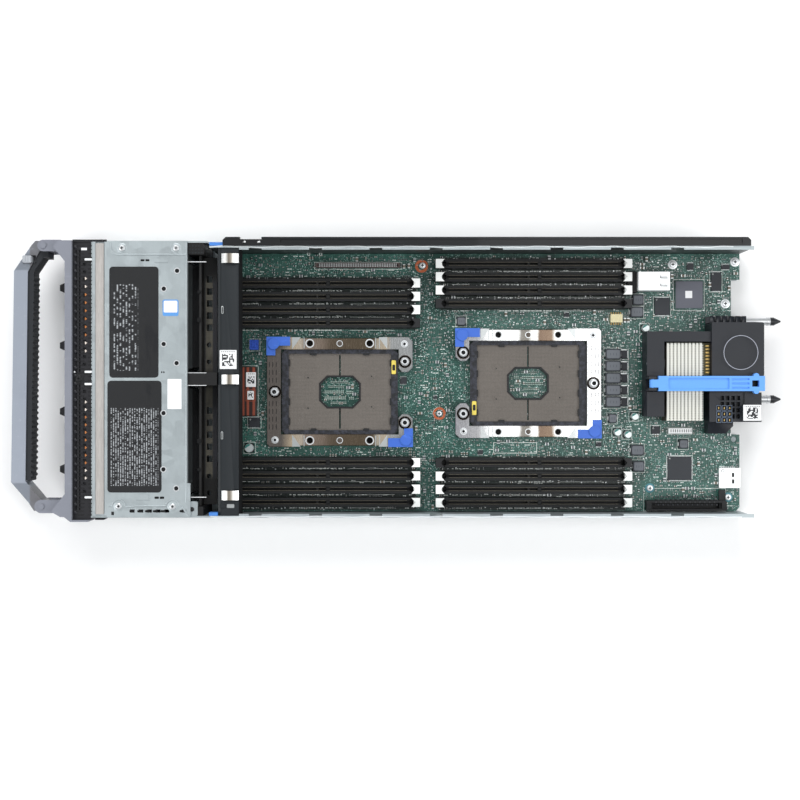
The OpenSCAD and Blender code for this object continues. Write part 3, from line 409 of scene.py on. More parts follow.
@functools.cache
def sheet(name, colour, rough=0.42, metal=0.55, streak=(1.0, 0.08, 1.0), shadow=False):
    """Galvanised sheet: soft spangle, rolling streaks and handling marks, with painted shade on the walls'
    inner faces when shadow is set.
    """
    finish = Finish(name)
    spangle = finish.channels(finish.cells(6.5))[0]
    small = finish.channels(finish.cells(2.1))[1]
    rolled = finish.noise(0.7, detail=3, stretch=streak)
    clouds = finish.noise(35, detail=3)
    marks = finish.band(finish.noise(7, detail=7, stretch=(0.3, 1.0, 1.0), rough=0.75), 0.60, 0.66)
    level = 0.93 + 0.05 * spangle + 0.03 * small + 0.06 * (rolled - 0.5) + 0.10 * (clouds - 0.5)
    # With shadow set, the inner faces of the walls below their tops are painted darker: painted shade, left
    # off along the guide rail.
    if shadow:
        inner = span("base_pan")[1].y - SHEET - 0.2
        along_rail = finish.inside(-134.0, 92.2, 250.0, 96.0)
        wall = finish.within(finish.y, -inner, inner, 0.1)
        wall = wall * finish.within(finish.z, SHEET + 0.8, WALL_TOP - 1.4, 0.4)
        level = level * (1 - 0.80 * wall * (1 - along_rail))
    base = finish.shade(colour, level)
    return finish.dress(
        finish.mix(marks * 0.22, base, faded(colour, 0.72)),
        rough=rough + 0.10 * (spangle - 0.5) + 0.10 * (rolled - 0.5) + 0.10 * marks,
        metal=metal,
        height=rolled + 0.5 * small,
        depth=0.012,
    )


@functools.cache
def bright(name, colour, rough=0.28, metal=0.9, grain=0.35):
    """A plated or bare metal part with turning marks and a little tarnish."""
    return moulded(name, colour, rough, metal, 0.10, grain, 0.008, (1.0, 1.0, 0.2), 0.18)


@functools.cache
def lacquer(name, mask, copper, pitch):
    """Solder mask over copper: trace runs, poured areas, vias, a glossy coat and painted shade between the
    memory sockets.
    """
    finish = Finish(name)
    patch = finish.channels(finish.cells(11, distance="CHEBYCHEV"))
    zone = finish.channels(finish.cells(34, distance="MANHATTAN"))
    along = finish.lines(finish.x, pitch, 0.42)
    across = finish.lines(finish.y, pitch, 0.42)
    slant = finish.lines(finish.x + finish.y, pitch * 1.41, 0.42)
    one_way = (patch[0] < 0.36) * along
    other_way = (patch[0] > 0.36) * (patch[0] < 0.74) * across
    diagonal = (patch[0] > 0.86) * slant
    runs = (one_way + other_way + diagonal) * (patch[1] > 0.18)
    pour = finish.band(zone[0], 0.60, 0.62)
    dots = finish.cells(2.6, output="Distance")
    picks = finish.channels(finish.cells(2.6))
    via = finish.band(dots, 0.20, 0.15) * (picks[2] > 0.45)
    hole = finish.band(dots, 0.09, 0.06) * (picks[2] > 0.45)
    clouds = finish.noise(22, detail=3)
    weave = finish.noise(0.5, detail=2)
    # Painted shade: the board between and beside the memory sockets is mixed to near-black.
    memory = 0
    for node in ("dimm_sockets_front", "dimm_sockets_rear"):
        low, high = span(node)
        for y0, y1 in ((low.y - 3, low.y + 36), (high.y - 36, high.y + 2)):
            memory = memory + finish.inside(low.x + 3, y0, high.x - 3, y1, 0.5)
    board = finish.mix(pour * 0.35, mask, copper)
    board = finish.mix(runs * 0.55, board, copper)
    board = finish.mix(via * 0.75, board, tone(122, 142, 134))
    board = finish.mix(hole * 0.8, board, tone(22, 30, 28))
    specks = finish.band(finish.cells(0.95, output="Distance"), 0.40, 0.24)
    kinds = finish.channels(finish.cells(0.95))
    crowd = finish.band(finish.noise(16, detail=2), 0.36, 0.56)
    board = finish.mix(specks * (kinds[0] > 0.50) * crowd * 0.85, board, tone(170, 206, 198))
    board = finish.mix(specks * (kinds[0] < 0.26) * 0.8, board, tone(16, 26, 24))
    # Painted shade between the memory sockets.
    board = finish.mix(memory * 0.88, board, tone(14, 17, 16))
    level = 0.86 + 0.30 * clouds + 0.08 * (weave - 0.5)
    return finish.dress(
        finish.shade(board, level),
        rough=0.40 + 0.12 * (weave - 0.5),
        coat=0.12,
        height=0.7 * runs + 0.8 * via - 1.2 * hole + 0.2 * weave,
        depth=0.03,
        gloss=0.4,
    )


@functools.cache
def printed(name, film, ink, pitch, x0, y0, x1, y1, fill, word):
    """A label: satin film with rows of plain dashes that run along y."""
    finish = Finish(name)
    row = (finish.x / pitch).floor()
    seat = finish.point(row * 7.31, finish.y / word, 3.7)
    words = finish.band(finish.noise(1.0, detail=1, place=seat), 1.0 - fill, 1.04 - fill)
    ticks = finish.band(finish.noise(0.55, detail=0, stretch=(0.3, 1.0, 1.0)), 0.40, 0.46)
    strokes = finish.lines(finish.x, pitch, 0.44) * words * ticks
    area = finish.inside(x0, y0, x1, y1, 0.2)
    clouds = finish.noise(16, detail=3)
    fine = finish.noise(0.4, detail=2)
    creases = finish.band(finish.noise(9, detail=6, stretch=(1.0, 0.25, 1.0), rough=0.7), 0.60, 0.64)
    base = finish.shade(film, 0.9 + 0.25 * (clouds - 0.5) + 0.3 * creases)
    return finish.dress(
        finish.mix(strokes * area * 0.85, base, ink),
        rough=0.42 + 0.15 * (fine - 0.5) - 0.08 * creases,
        coat=0.15,
        height=fine + 0.8 * strokes * area,
        depth=0.01,
    )


@functools.cache
def contacts(name, ground, metal_colour, pitch, share=0.5):
    """A row of plated contacts in a black body, repeating along x."""
    finish = Finish(name)
    teeth = finish.lines(finish.x, pitch, share)
    fine = finish.noise(0.5, detail=2)
    base = finish.mix(teeth, ground, finish.shade(metal_colour, 0.8 + 0.4 * fine))
    return finish.dress(base, rough=0.4, metal=teeth * 0.7, height=teeth + 0.2 * fine, depth=0.08)


@functools.cache
def fibrous(name, colour):
    """Open-cell foam with a woven skin: streaks along y and small pores."""
    finish = Finish(name)
    streaks = finish.noise(0.9, detail=4, stretch=(1.0, 0.10, 1.0), rough=0.7)
    weave = finish.lines(finish.y, 0.8, 0.5) * finish.lines(finish.x, 0.8, 0.5)
    pores = finish.cells(0.7, output="Distance")
    clouds = finish.noise(18, detail=3)
    level = 0.62 + 0.55 * streaks + 0.12 * weave + 0.25 * (clouds - 0.5)
    return finish.dress(
        finish.shade(colour, level),
        rough=0.80 + 0.15 * (streaks - 0.5),
        metal=0.1,
        height=streaks + 0.4 * pores + 0.3 * weave,
        depth=0.12,
    )


# ----------------------------------------------------------------- outlines


def circle(x, y, radius, sides=20):
    """Points round a circle, anticlockwise."""
    turns = [2 * math.pi * i / sides for i in range(sides)]
    return [(x + radius * math.cos(a), y + radius * math.sin(a)) for a in turns]


def rectangle(x0, y0, x1, y1, radius=0.0, steps=3):
    """A rectangle, anticlockwise, with round corners, or cut ones at one step."""
    if radius <= 0:
        return [(x0, y0), (x1, y0), (x1, y1), (x0, y1)]
    centres = ((x1, y0, -1), (x1, y1, 0), (x0, y1, 1), (x0, y0, 2))
    outline = []
    for x, y, quarter in centres:
        cx = x - radius if x == x1 else x + radius
        cy = y - radius if y == y1 else y + radius
        for i in range(steps + 1):
            a = (quarter + i / steps) * math.pi / 2
            outline.append((cx + radius * math.cos(a), cy + radius * math.sin(a)))
    return outline


def grown(outline, amount):
    """An outline with each edge moved outwards, or inwards where the amount is negative."""
    moved = []
    count = len(outline)
    for i in range(count):
        here = Vector(outline[i])
        back = (here - Vector(outline[i - 1])).normalized()
        ahead = (Vector(outline[(i + 1) % count]) - here).normalized()
        out_back = Vector((back.y, -back.x))
        out_ahead = Vector((ahead.y, -ahead.x))
        middle = out_back + out_ahead
        if middle.length < 0.2:
            middle = out_back
        middle.normalize()
        reach = amount / max(0.35, middle.dot(out_back))
        moved.append(tuple(here + middle * reach))
    return moved


def lifted(outline, height):
    """An outline at a height."""
    return [(x, y, height) for x, y in outline]


# ------------------------------------------------------------------- pieces


class Piece:
    """One object made of many small solids."""

    def __init__(self, name, body="chassis", slot=None, stands_for=()):
        self.name = name
        self.body = body
        self.slot = slot
        self.stands_for = stands_for
        self.mesh = bmesh.new()
        self.finishes = []
        self.place = Matrix.Identity(4)

    def index(self, finish):
        """The place of a finish in the piece's material slots."""
        if finish not in self.finishes:
            self.finishes.append(finish)
        return self.finishes.index(finish)

    def skin(self, rings, finish, caps=True, loop=False):
        """Joins rings of equal count with four-sided faces."""
        index = self.index(finish)
        rows = [[self.mesh.verts.new(self.place @ Vector(p)) for p in ring] for ring in rings]
        pairs = list(zip(rows, rows[1:]))
        if loop:
            pairs.append((rows[-1], rows[0]))
        made = []
        for low, high in pairs:
            for i in range(len(low)):
                j = (i + 1) % len(low)
                made.append(self.mesh.faces.new((low[i], low[j], high[j], high[i])))
        if caps and not loop:
            made.append(self.mesh.faces.new(rows[0][::-1]))
            made.append(self.mesh.faces.new(rows[-1]))
        for face in made:
            face.material_index = index

    def prism(self, outline, z0, z1, finish, chamfer=0.0):
        """An outline pulled up from z0 to z1, with a chamfer round its top."""
        rings = [lifted(outline, z0)]
        if chamfer > 0:
            rings.append(lifted(outline, z1 - chamfer))
            rings.append(lifted(grown(outline, -chamfer), z1))
        else:
            rings.append(lifted(outline, z1))
        self.skin(rings, finish)

    def block(self, low, high, finish, chamfer=0.0, radius=0.0, steps=1):
        """A block between two corners, with cut or round upright edges and a chamfered top."""
        outline = rectangle(low[0], low[1], high[0], high[1], radius, steps)
        self.prism(outline, low[2], high[2], finish, chamfer)

    def plate(self, outline, holes, z0, z1, finish, chamfer=0.0):
        """A flat plate with holes right through it."""
        index = self.index(finish)
        normal = self.place.to_3x3() @ UP
        floor_edges = []
        roof_edges = []
        made = []
        for loop in [outline] + [hole[::-1] for hole in holes]:
            levels = [(z0, 0.0), (z1 - chamfer, 0.0), (z1, chamfer)]
            if chamfer <= 0:
                levels = [(z0, 0.0), (z1, 0.0)]
            rows = []
            for height, inset in levels:
                ring = lifted(grown(loop, -inset) if inset else loop, height)
                rows.append([self.mesh.verts.new(self.place @ Vector(p)) for p in ring])
            for low, high in zip(rows, rows[1:]):
                for i in range(len(low)):
                    j = (i + 1) % len(low)
                    made.append(self.mesh.faces.new((low[i], low[j], high[j], high[i])))
            for row, edges in ((rows[0], floor_edges), (rows[-1], roof_edges)):
                for i in range(len(row)):
                    edges.append(self.mesh.edges.get((row[i], row[(i + 1) % len(row)])))
        for edges, way in ((floor_edges, -normal), (roof_edges, normal)):
            fill = bmesh.ops.triangle_fill(
                self.mesh, use_beauty=True, use_dissolve=False, edges=edges, normal=way
            )
            made += [item for item in fill["geom"] if isinstance(item, bmesh.types.BMFace)]
        for face in made:
            face.material_index = index

    def lathe(self, x, y, profile, finish, sides=20, loop=False):
        """A turned shape about an upright axis, from (radius, height) pairs."""
        rings = [lifted(circle(x, y, radius, sides), height) for radius, height in profile]
        self.skin(rings, finish, caps=not loop, loop=loop)

    def hoop(self, x, y, radius, width, z0, z1, finish, sides=24):
        """A flat ring."""
        inner = radius - width
        profile = [(radius, z0), (radius, z1), (inner, z1), (inner, z0)]
        self.lathe(x, y, profile, finish, sides, loop=True)

    def screw(self, x, y, z, radius, finish, drive, washer=None, height=0.9):
        """A pan-head screw with a cross recess, and a washer under it if one is given."""
        if washer:
            thick = 0.35
            rim = [(radius * 1.45, z), (radius * 1.45, z + 0.25), (radius * 1.3, z + thick)]
            self.lathe(x, y, rim, washer)
            z += thick
        head = [(radius, z), (radius, z + height * 0.5), (radius * 0.82, z + height * 0.9)]
        self.lathe(x, y, head + [(radius * 0.5, z + height)], finish)
        arm = radius * 0.5
        for wide, deep in ((arm, arm * 0.28), (arm * 0.28, arm)):
            low = (x - wide, y - deep, z + height * 0.6)
            self.block(low, (x + wide, y + deep, z + height + 0.03), drive)

    def rod(self, path, radius, finish, sides=8, squash=1.0):
        """A round bar or bead along a path, flattened upwards by squash."""
        points = [Vector(p) for p in path]
        rings = []
        for i, here in enumerate(points):
            back = points[max(0, i - 1)]
            ahead = points[min(len(points) - 1, i + 1)]
            along = (ahead - back).normalized()
            side = along.cross(UP)
            if side.length < 0.01:
                side = Vector((1, 0, 0))
            side.normalize()
            over = side.cross(along).normalized()
            ring = []
            for k in range(sides):
                a = 2 * math.pi * k / sides
                ring.append(here + side * radius * math.cos(a) + over * radius * squash * math.sin(a))
            rings.append(ring)
        self.skin(rings, finish)

    def done(self):
        """Turns the solids into one object that rides on its body."""
        bmesh.ops.recalc_face_normals(self.mesh, faces=self.mesh.faces)
        data = bpy.data.meshes.new(self.name)
        self.mesh.to_mesh(data)
        self.mesh.free()
        data.transform(Matrix.Scale(MM, 4))
        for finish in self.finishes:
            data.materials.append(finish.material)
        data.shade_smooth()
        data.set_sharp_from_angle(angle=math.radians(32))
        made = bpy.data.objects.new(self.name, data)
        bpy.context.scene.collection.objects.link(made)
        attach(made, self.body)
        if self.stands_for:
            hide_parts(*self.stands_for)
        return made


def coat_node(node, finish):
    """Gives a carried-over node its finish."""
    data = frame["nodes"][node].data
    if not data.materials:
        data.materials.append(finish.material)
    for i in range(len(data.materials)):
        data.materials[i] = finish.material


def welded(node):
    """A node's mesh in millimetres, with its split corners joined."""
    mesh = bmesh.new()
    mesh.from_mesh(frame["nodes"][node].data)
    bmesh.ops.transform(mesh, matrix=Matrix.Scale(1 / MM, 4), verts=mesh.verts)
    bmesh.ops.remove_doubles(mesh, verts=mesh.verts, dist=0.002)
    return mesh


def islands(mesh):
    """The separate solids of a mesh, each as a list of its corners."""
    seen = set()
    found = []
    for start in mesh.verts:
        if start in seen:
            continue
        seen.add(start)
        group = [start]
        for vertex in group:
            for edge in vertex.link_edges:
                other = edge.other_vert(vertex)
                if other not in seen:
                    seen.add(other)
                    group.append(other)
        found.append(group)
    return found


def extent(group):
    """The lowest and highest corners of a list of vertices."""
    low = Vector([min(v.co[i] for v in group) for i in range(3)])
    high = Vector([max(v.co[i] for v in group) for i in range(3)])
    return low, high


def solids_of(node):
    """The boxes of a node's separate solids, in millimetres."""
    mesh = welded(node)
    boxes = [extent(group) for group in islands(mesh)]
    mesh.free()
    return sorted(boxes, key=lambda pair: (round(pair[0].x, 2), round(pair[0].y, 2)))


def softened(name, node, body, slot, choose, chamfer):
    """Stands for a node with the same solids, edges broken and a finish chosen for each."""
    piece = Piece(name, body, slot, (node,))
    mesh = welded(node)
    piece.mesh.free()
    piece.mesh = mesh
    for group in islands(mesh):
        index = piece.index(choose(*extent(group)))
        for vertex in group:
            for face in vertex.link_faces:
                face.material_index = index
    bmesh.ops.dissolve_limit(
        mesh, angle_limit=0.02, verts=mesh.verts, edges=mesh.edges, delimit={"MATERIAL"}
    )
    sharp = [e for e in mesh.edges if len(e.link_faces) == 2 and e.calc_face_angle(0.0) > 0.6]
    if chamfer > 0:
        bmesh.ops.bevel(
            mesh,
            geom=sharp,
            offset=chamfer,
            segments=1,
            profile=0.5,
            affect="EDGES",
            clamp_overlap=True,
        )
    return piece


# ----------------------------------------------------------- shared finishes


def zinc():
    """The sheet metal of the pan, cage and cover."""
    return sheet("zinc_sheet", paint("zinc"))


def black():
    """The black moulded parts."""
    return moulded("black_plastic", paint("black"), rough=0.52, scuff=0.16)


def dark(name="painted_recess_shade"):
    """Painted shade for recesses, holes and gaps: a near-black finish laid where a real recess is dark from
    shadow.
    """
    return moulded(name, tone(14, 15, 17), rough=0.8, scuff=0.03)


def tin():
    """Tinned leads, cans and plated edges."""
    return bright("tin", paint("tin"), rough=0.34, metal=0.75)


def steel():
    """Plated screws, rivets and pins."""
    return bright("plated_steel", tone(226, 229, 231), rough=0.34, metal=0.6)


def paper():
    """White stickers."""
    return moulded("white_paper", paint("paper"), rough=0.7, mottle=0.03, grain=0.3, scuff=0.02)


def silk():
    """White silkscreen print."""
    return moulded("silkscreen", paint("silk"), rough=0.6, mottle=0.10, grain=0.3, scuff=0.0)


def chip_body():
    """Moulded chip packages."""
    return moulded("chip_package", paint("chip"), rough=0.48, mottle=0.06, grain=0.25, scuff=0.12)


def blue():
    """Blue parts that are meant to be gripped."""
    return moulded("touch_blue", paint("blue"), rough=0.42, mottle=0.04, grain=0.5, scuff=0.10)


def gold():
    """Plated contacts."""
    return bright("contact_gold", paint("gold"), rough=0.32, metal=0.85)


def lacquered():
    """The boards' solder mask."""
    return lacquer("solder_mask", paint("mask"), paint("copper"), size("trace_pitch"))


# ---------------------------------------------------------------- operators


class BLADE_OT_sheet_metal(bpy.types.Operator):
    """Finishes for the pan, the drive cage and the guide rail, and the hems of the walls with a painted
    highlight
    """

    bl_idname = "blade.sheet_metal"
    bl_label = "Sheet metal"

    def execute(self, context):
        coat_node("cage_cover", zinc())
        coat_node("drive_cage", sheet("cage_sheet", paint("zinc"), shadow=True))
        coat_node("base_pan", sheet("pan_sheet", paint("zinc"), shadow=True))
        hem = Piece("wall_hems", slot="zinc_pan")
        # A near-white copy of the zinc along the wall tops: a painted highlight on the hems.
        bead = moulded("hem_painted_highlight", tone(224, 230, 232), rough=0.3, metal=0.3, grain=0.4)
        for y, first, last in ((92.2, -132.0, 232.0), (-95.7, -132.0, 238.0)):
            path = []
            steps = 90
            for i in range(steps + 1):
                x = first + (last - first) * i / steps
                wave = 0.35 * math.sin(x / 7.0) + 0.2 * math.sin(x / 2.9)
                z = WALL_TOP - 0.2 + 0.15 * math.sin(x / 5.0)
                path.append((x, y + wave * (1 if y > 0 else -0.6), z))
            hem.rod(path, 0.62, bead, 6)
        hem.done()
        rail = moulded("black_rail", faded(paint("black"), 0.95), rough=0.38, scuff=0.22, coat=0.1)
        coat_node("guide_rail", rail)
        return {"FINISHED"}


class BLADE_OT_front(bpy.types.Operator):
    """The bezel, its ventilated frame with studs and spring fingers, and the power button"""

    bl_idname = "blade.front"
    bl_label = "Front bezel"

    def execute(self, context):
        coat_node("front_bezel", moulded("bezel_paint", paint("bezel"), rough=0.46, grain=0.35))
        coat_node("vent_frame", moulded("vent_black", tone(28, 28, 32), rough=0.5, scuff=0.14))
        coat_node("power_button", moulded("button_grey", tone(150, 156, 164), rough=0.4))
        coat_node("side_latch", black())
        low, high = span("vent_frame")
        deck = WALL_TOP
        piece = Piece("vent_studs", slot="black_vent")
        cap = moulded("stud_black", tone(40, 40, 45), rough=0.38, scuff=0.2)
        pitch = size("stud_pitch")
        count = int((high.y - low.y - 6) / pitch)
        for i in range(count + 1):
            y = (low.y + high.y) / 2 + (i - count / 2) * pitch
            profile = [(1.25, deck - 0.3), (1.25, deck + 0.35), (0.95, deck + 0.6), (0.3, deck + 0.7)]
            piece.lathe(low.x + 1.6, y, profile, cap, 12)
        amber = moulded("finger_amber", tone(178, 112, 62), rough=0.4, grain=0.3)
        pale = moulded("finger_pale", tone(226, 214, 204), rough=0.4, grain=0.3)
        pitch = size("finger_pitch")
        x = -218.9
        for first, last in ((19.7, 70.1), (-68.7, -15.8)):
            count = round((last - first) / pitch)
            for i in range(count + 1):
                y = first + (last - first) * i / count
                near_end = min(i, count - i) < 2
                finish = pale if near_end else amber
                piece.block((x - 0.3, y - 0.9, deck), (x + 0.5, y + 0.9, deck + 0.28), finish, 0.12)
                piece.block((x + 0.5, y - 0.3, deck), (x + 1.1, y + 0.3, deck + 0.2), finish, 0.05)
                piece.block((x - 1.3, y - 1.9, deck), (x - 0.8, y + 1.9, deck + 0.16), dark())
        trim = moulded("white_trim", tone(236, 238, 240), rough=0.4, grain=0.3)
        piece.block((-221.8, 89.8, deck), (-217.8, 91.5, deck + 0.3), trim, 0.1)
        for y in (83.4, 5.2, -3.3, -82.1):
            rim = rectangle(-220.3, y - 1.9, -213.2, y + 1.9, 1.0)
            piece.prism(rim, deck, deck + 0.35, black(), 0.15)
            piece.block((-219.4, y - 0.75, deck), (-214.0, y + 0.75, deck + 0.5), trim, 0.1, 0.4)
        rib = moulded("rib_black", tone(20, 20, 23), rough=0.45, scuff=0.2)
        rib_pitch = 2.675
        for i in range(int((high.y - low.y - 4) / rib_pitch)):
            y = low.y + 3 + i * rib_pitch
            piece.block((-224.4, y, deck), (-219.8, y + 0.7, deck + 0.22), rib, 0.08)
            piece.block((-217.0, y, deck), (-214.4, y + 0.7, deck + 0.22), rib, 0.08)
        piece.lathe(-226.4, 5.1, [(0.6, deck), (0.6, deck + 0.2), (0.3, deck + 0.3)], trim, 10)
        piece.done()
        return {"FINISHED"}


class BLADE_OT_handle(bpy.types.Operator):
    """The finishes of the folding handle: satin bar, cast knuckles, black grip and release"""

    bl_idname = "blade.handle"
    bl_label = "Handle"

    def execute(self, context):
        satin = Finish("satin_alloy")
        clouds = satin.noise(20, detail=3)
        fine = satin.noise(0.4, detail=2)
        # Both arms are mixed towards a darker grey: painted shade on the arm chamfers.
        bend = satin.band(abs(satin.y - 2.0), 74.0, 75.0)
        arm = bend * satin.band(abs(satin.y - 2.0), 89.0, 86.0)
        cast = bend * satin.band(satin.x, -259.5, -258.5)
        colour = satin.mix(arm * 0.55, paint("handle"), tone(96, 101, 108))
        colour = satin.mix(cast * 0.7, colour, paint("knuckle"))
        wear = satin.band(satin.noise(3.0, detail=6, rough=0.7), 0.60, 0.70)
        colour = satin.mix(wear * 0.15, satin.shade(colour, 0.95 + 0.1 * clouds), tone(214, 218, 224))
        satin.dress(colour, rough=0.34 + 0.1 * (fine - 0.5), metal=0.35, height=fine, depth=0.02)
        coat_node("handle", satin)
        coat_node("handle_grip", moulded("grip_black", tone(31, 34, 38), rough=0.6, grain=0.5))
        coat_node("handle_release", moulded("release_pale", tone(176, 180, 186), rough=0.4))
        return {"FINISHED"}


class BLADE_OT_seal(bpy.types.Operator):
    """The conductive foam seal between the bezel and the cover, with its two sheet edges"""

    bl_idname = "blade.seal"
    bl_label = "Foam seal"

    def execute(self, context):
        low, high = span("seal_gasket")
        foam = Piece("seal_foam", slot="grey_foam", stands_for=("seal_gasket",))
        width = high.x - low.x
        rings = []
        steps = 60
        for i in range(steps + 1):
            y = low.y + (high.y - low.y) * i / steps
            sag = 0.12 * math.sin(i * 1.9) + 0.08 * math.sin(i * 0.7)
            ring = []
            for across, up in ((0, 0), (1, 0), (1, 0.62), (0.84, 0.93), (0.5, 1.0), (0.16, 0.93), (0, 0.62)):
                lift = (high.z - low.z) * up - (abs(sag) + 0.1) * (up > 0.7)
                ring.append((low.x + width * across, y, low.z + lift))
            rings.append(ring)
        foam.skin(rings, fibrous("seal_weave", paint("foam")))
        foam.done()
        edges = Piece("seal_edges", slot="zinc_cover")
        for x0, x1 in ((low.x - 2.6, low.x - 0.1), (high.x + 0.2, high.x + 2.2)):
            edges.block((x0, low.y - 1.5, WALL_TOP), (x1, high.y + 1.2, COVER_TOP), zinc(), 0.25)
        edges.block((-214, -94.9, WALL_TOP), (-199.6, -93.0, WALL_TOP + 0.8), zinc(), 0.2)
        edges.block((-200.6, -94.4, WALL_TOP + 0.4), (-198.8, -92.0, COVER_TOP + 0.3), black(), 0.2)
        edges.done()
        return {"FINISHED"}


def bare_label(piece, x0, y0, x1, y1, z, finish, radius=0.4, thick=0.12):
    """A flat sticker."""
    piece.prism(rectangle(x0, y0, x1, y1, radius), z, z + thick, finish, 0.04)


def coded_label(piece, x0, y0, x1, y1, z, name):
    """A small white sticker with a generic field of square dots and a dash row beside it."""
    finish = Finish(name)
    cell = 0.85
    spot = finish.point((finish.x / cell).floor(), (finish.y / cell).floor(), x0)
    dots = finish.add("ShaderNodeTexWhiteNoise", None, {0: spot}) > 0.46
    side = min(x1 - x0, y1 - y0) * 0.72
    cx, cy = (x0 + x1) / 2, (y0 + y1) / 2
    field = finish.inside(cx - side / 2, cy - side / 2 - 0.3, cx + side / 2, cy + side / 2 - 0.3, 0.05)
    dash = finish.lines(finish.x, 1.3, 0.6) * finish.inside(x0 + 1, y1 - 1.5, x1 - 1, y1 - 0.8)
    fine = finish.noise(0.4, detail=2)
    ink = dots * field + dash * 0.7
    sheet_white = finish.shade(paint("paper"), 0.96 + 0.08 * (fine - 0.5))
    finish.dress(finish.mix(ink, sheet_white, tone(30, 32, 36)), rough=0.55, height=fine, depth=0.01)
    piece.prism(rectangle(x0, y0, x1, y1, 0.3), z, z + 0.12, finish, 0.04)


class BLADE_OT_cover(bpy.types.Operator):
    """The cage cover's pressed ridges, labels, holes and screws"""

    bl_idname = "blade.cover"
    bl_label = "Cage cover"

    def execute(self, context):
        top = COVER_TOP
        metal = zinc()
        ridges = Piece("cover_ridges", slot="zinc_cover")
        bead = {"finish": metal, "squash": 0.5}
        arc = []
        for i in range(9):
            a = math.radians(180 + 90 * i / 8)
            arc.append((-196.3 + 4.8 * math.cos(a), 91.4 + 4.8 * math.sin(a), top))
        ridges.rod([(-201.1, 95.0, top)] + arc + [(-148.6, 86.6, top)], 0.75, **bead)
        low_line = [(-202.5, -88.1, top), (-199.6, -88.1, top)]
        for centre in (-195.5, -158.0):
            for i in range(13):
                a = math.radians(180 - 180 * i / 12)
                low_line.append((centre + 4.6 * math.cos(a), -88.1 + 4.4 * math.sin(a), top))
        low_line += [(-151.5, -88.1, top), (-147.2, -95.0, top)]
        ridges.rod(low_line, 0.75, **bead)
        ridges.rod([(-203, -78.9, top - 0.25), (-149, -78.9, top - 0.25)], 0.5, **bead)
        ridges.rod([(-148.6, -86.0, top - 0.1), (-148.6, 95.2, top - 0.1)], 0.8, **bead)
        for box in ((-170.6, 80.8, -160.5, 84.6), (-183.8, -84.2, -173.7, -81.1)):
            ridges.prism(rectangle(*box, 0.8), top - 0.1, top + 0.25, metal, 0.2)
        slot_y = -91.7
        for x in [-188 + 5.4 * i for i in range(5)] + [-153.2]:
            ridges.block((x, slot_y - 0.8, top), (x + 3.5, slot_y + 0.8, top + 0.05), dark(), 0, 0.7, 3)
        for x0, y0, x1, y1 in (
            (-180.3, 81.5, -174.1, 83.9),
            (-170.6, -83.6, -163.9, -81.0),
            (-166.0, 3.7, -163.6, 6.1),
        ):
            half = (x1 - x0) / 2 - 0.3
            for x in (x0, x0 + half + 0.6):
                ridges.block((x, y0 + 0.5, top), (x + half, y1 - 0.5, top + 0.04), dark(), 0, 0.5, 3)
        for x, y in (
            (-154.9, 75.4),
            (-164.1, 62.9),
            (-164.2, 24.5),
            (-155.2, 11.2),
            (-164.3, -23.5),
            (-164.4, -62.6),
            (-155.5, -75.8),
        ):
            ridges.hoop(x, y, 2.2, 0.7, top - 0.1, top + 0.22, steel())
            ridges.lathe(x, y, [(1.5, top), (1.5, top + 0.05)], dark())
        for x, y in ((-193.2, 91.2), (-155.5, 91.2), (-195.5, -88.2), (-158, -88.5)):
            ridges.lathe(x, y, [(3.5, top - 0.2), (3.5, top + 0.1), (3.0, top + 0.25)], metal, 28)
            ridges.screw(x, y, top + 0.2, 2.1, steel(), dark(), height=0.7)
        ridges.done()
        labels = Piece("cover_labels", slot="black_blocks")
        film, ink = paint("film"), paint("print")
        pitch = size("print_pitch")
        corner = size("label_corner")
        first = printed("label_rows", film, ink, pitch, -200, 6, -182, 66, 0.52, 2.6)
        labels.prism(rectangle(-202.0, 1.1, -167.8, 78.3, corner, 5), top, top + 0.16, first, 0.05)
        second = printed("label_lines", film, ink, pitch * 0.78, -201, -74, -168, -20, 0.60, 1.9)
        labels.prism(rectangle(-203.3, -78.7, -165.7, -1.0, corner, 5), top, top + 0.16, second, 0.05)
        border = moulded("sticker_blue", tone(92, 150, 214), rough=0.5, scuff=0.03)
        bare_label(labels, -165.0, 44.0, -153.9, 55.4, top, border, 1.2, 0.10)
        bare_label(labels, -164.2, 46.4, -154.7, 54.6, top, paper(), 0.8, 0.16)
        bare_label(labels, -161.6, -20.7, -151.8, 0.2, top, paper(), 0.4)
        labels.done()
        return {"FINISHED"}


class Ground:
    """Where the main board lies open to the sky, kept on a fine grid."""

    def __init__(self, step=0.6):
        self.step = step
        low, high = span("system_board")
        self.low = low
        self.across = int((high.x - low.x) / step)
        self.along = int((high.y - low.y) / step)
        corners = []
        faces = []
        for node in frame["nodes"].values():
            start = len(corners)
            corners += [v.co / MM for v in node.data.vertices]
            faces += [[start + i for i in face.vertices] for face in node.data.polygons]
        tree = BVHTree.FromPolygons(corners, faces)
        self.open = []
        for i in range(self.across):
            column = bytearray(self.along)
            for j in range(self.along):
                spot = Vector((low.x + (i + 0.5) * step, low.y + (j + 0.5) * step, 80))
                hit = tree.ray_cast(spot, -UP)[0]
                column[j] = hit is not None and abs(hit.z - BOARD_TOP) < 0.05
            self.open.append(column)

    def take(self, x0, y0, x1, y1, gap=0.0):
        """True if the whole rectangle was open; it is closed from then on."""
        i0 = int((x0 - gap - self.low.x) / self.step)
        i1 = int((x1 + gap - self.low.x) / self.step)
        j0 = int((y0 - gap - self.low.y) / self.step)
        j1 = int((y1 + gap - self.low.y) / self.step)
        if i0 < 0 or j0 < 0 or i1 >= self.across or j1 >= self.along:
            return False
        if not all(all(column[j0 : j1 + 1]) for column in self.open[i0 : i1 + 1]):
            return False
        for column in self.open[i0 : i1 + 1]:
            column[j0 : j1 + 1] = bytes(j1 - j0 + 1)
        return True


